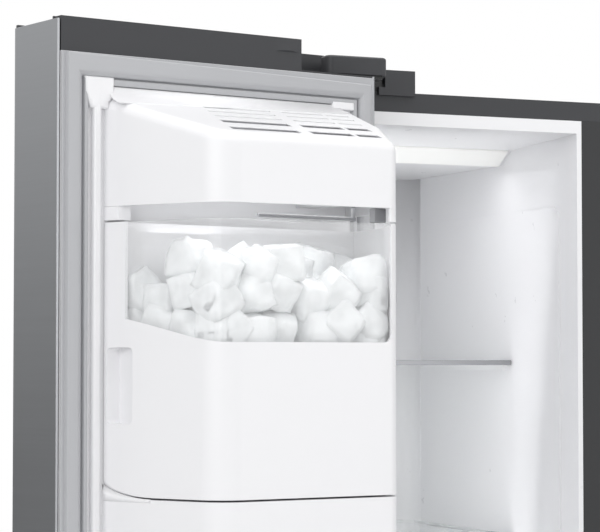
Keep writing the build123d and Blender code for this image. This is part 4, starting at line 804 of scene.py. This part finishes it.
# %% Lamps
LAMPS = {
    # name: (place, aim, width, depth, power in watts)
    "key_left": ((-3.2, -3.0, 2.6), (-0.3, -0.3, 1.3), 2.4, 2.4, 43.0),
    "fill_right": ((2.5, -4.1, 1.7), (-0.3, -0.2, 1.2), 1.9, 1.9, 21.5),
    "front_low": ((-1.0, -4.2, 0.8), (-0.3, -0.3, 1.5), 1.8, 1.2, 2.0),
    "overhead": ((-0.2, -1.0, 4.2), (-0.2, -0.4, 1.0), 3.0, 2.0, 38.0),
    "freezer_lamp": ((-0.256, -0.142, 1.676), (-0.256, -0.10, 1.0), 0.28, 0.03, 0.09),
    "freezer_glow": ((-0.27, -0.19, 0.96), (-0.30, 0.13, 1.005), 0.26, 1.36, 1.36),
    "freezer_upward": ((-0.26, -0.12, 1.00), (-0.26, -0.14, 1.70), 0.26, 0.30, 0.45),
    "fridge_lamp": ((0.19, -0.142, 1.676), (0.19, -0.10, 1.0), 0.40, 0.03, 0.06),
    "fridge_glow": ((0.19, -0.19, 0.96), (0.19, 0.13, 1.005), 0.36, 1.36, 2.10),
    "bucket_glow": (from_free(200, 100, 1589), from_free(200, 132, 1440), 0.20, 0.04, 0.06),
    "maker_glow": (from_free(200, 60, 1566), from_free(200, 60, 1700), 0.22, 0.07, 0.05),
}
DOOR_LAMPS = ("bucket_glow", "maker_glow")
UNMIRRORED = ("freezer_upward", "freezer_glow", "fridge_glow")
for name, (spot, aim, width, depth, power) in LAMPS.items():
    lamp = bpy.data.lights.new(name, "AREA")
    lamp.shape = "RECTANGLE"
    lamp.size, lamp.size_y = width, depth
    lamp.energy = power
    holder = bpy.data.objects.new(name, lamp)
    holder.location = spot
    holder.rotation_euler = (Vector(aim) - Vector(spot)).to_track_quat("-Z", "Y").to_euler()
    holder.visible_camera = False
    holder.visible_glossy = holder.visible_transmission = name not in UNMIRRORED
    bpy.context.scene.collection.objects.link(holder)
    if name in DOOR_LAMPS:
        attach(holder, "freezer_door")
print("lamps:", ", ".join(LAMPS))

# %% [markdown]
# ## Camera
# The picture was taken with a long lens from a little left of the freezer door, at the height of the
# bucket, and looks up by a couple of degrees. The edges of the door and the cabinet gave the place, the
# turn and the lens.

# %% Camera
EYE = (-1.4596, -2.6238, 1.4366)
TURN, RISE = 23.556, 2.407
LENS, FILM_WIDTH = 135.43, 36.0
turn, rise = math.radians(TURN), math.radians(RISE)
ahead = Vector((math.sin(turn) * math.cos(rise), math.cos(turn) * math.cos(rise), math.sin(rise)))
view = bpy.data.cameras.new("photo_view")
view.sensor_width = FILM_WIDTH
view.lens = LENS
camera = bpy.data.objects.new("photo_view", view)
camera.location = EYE
camera.rotation_euler = ahead.to_track_quat("-Z", "Y").to_euler()
bpy.context.scene.collection.objects.link(camera)
bpy.context.scene.camera = camera
bpy.context.scene.view_settings.view_transform = "Standard"
print("camera at", EYE)
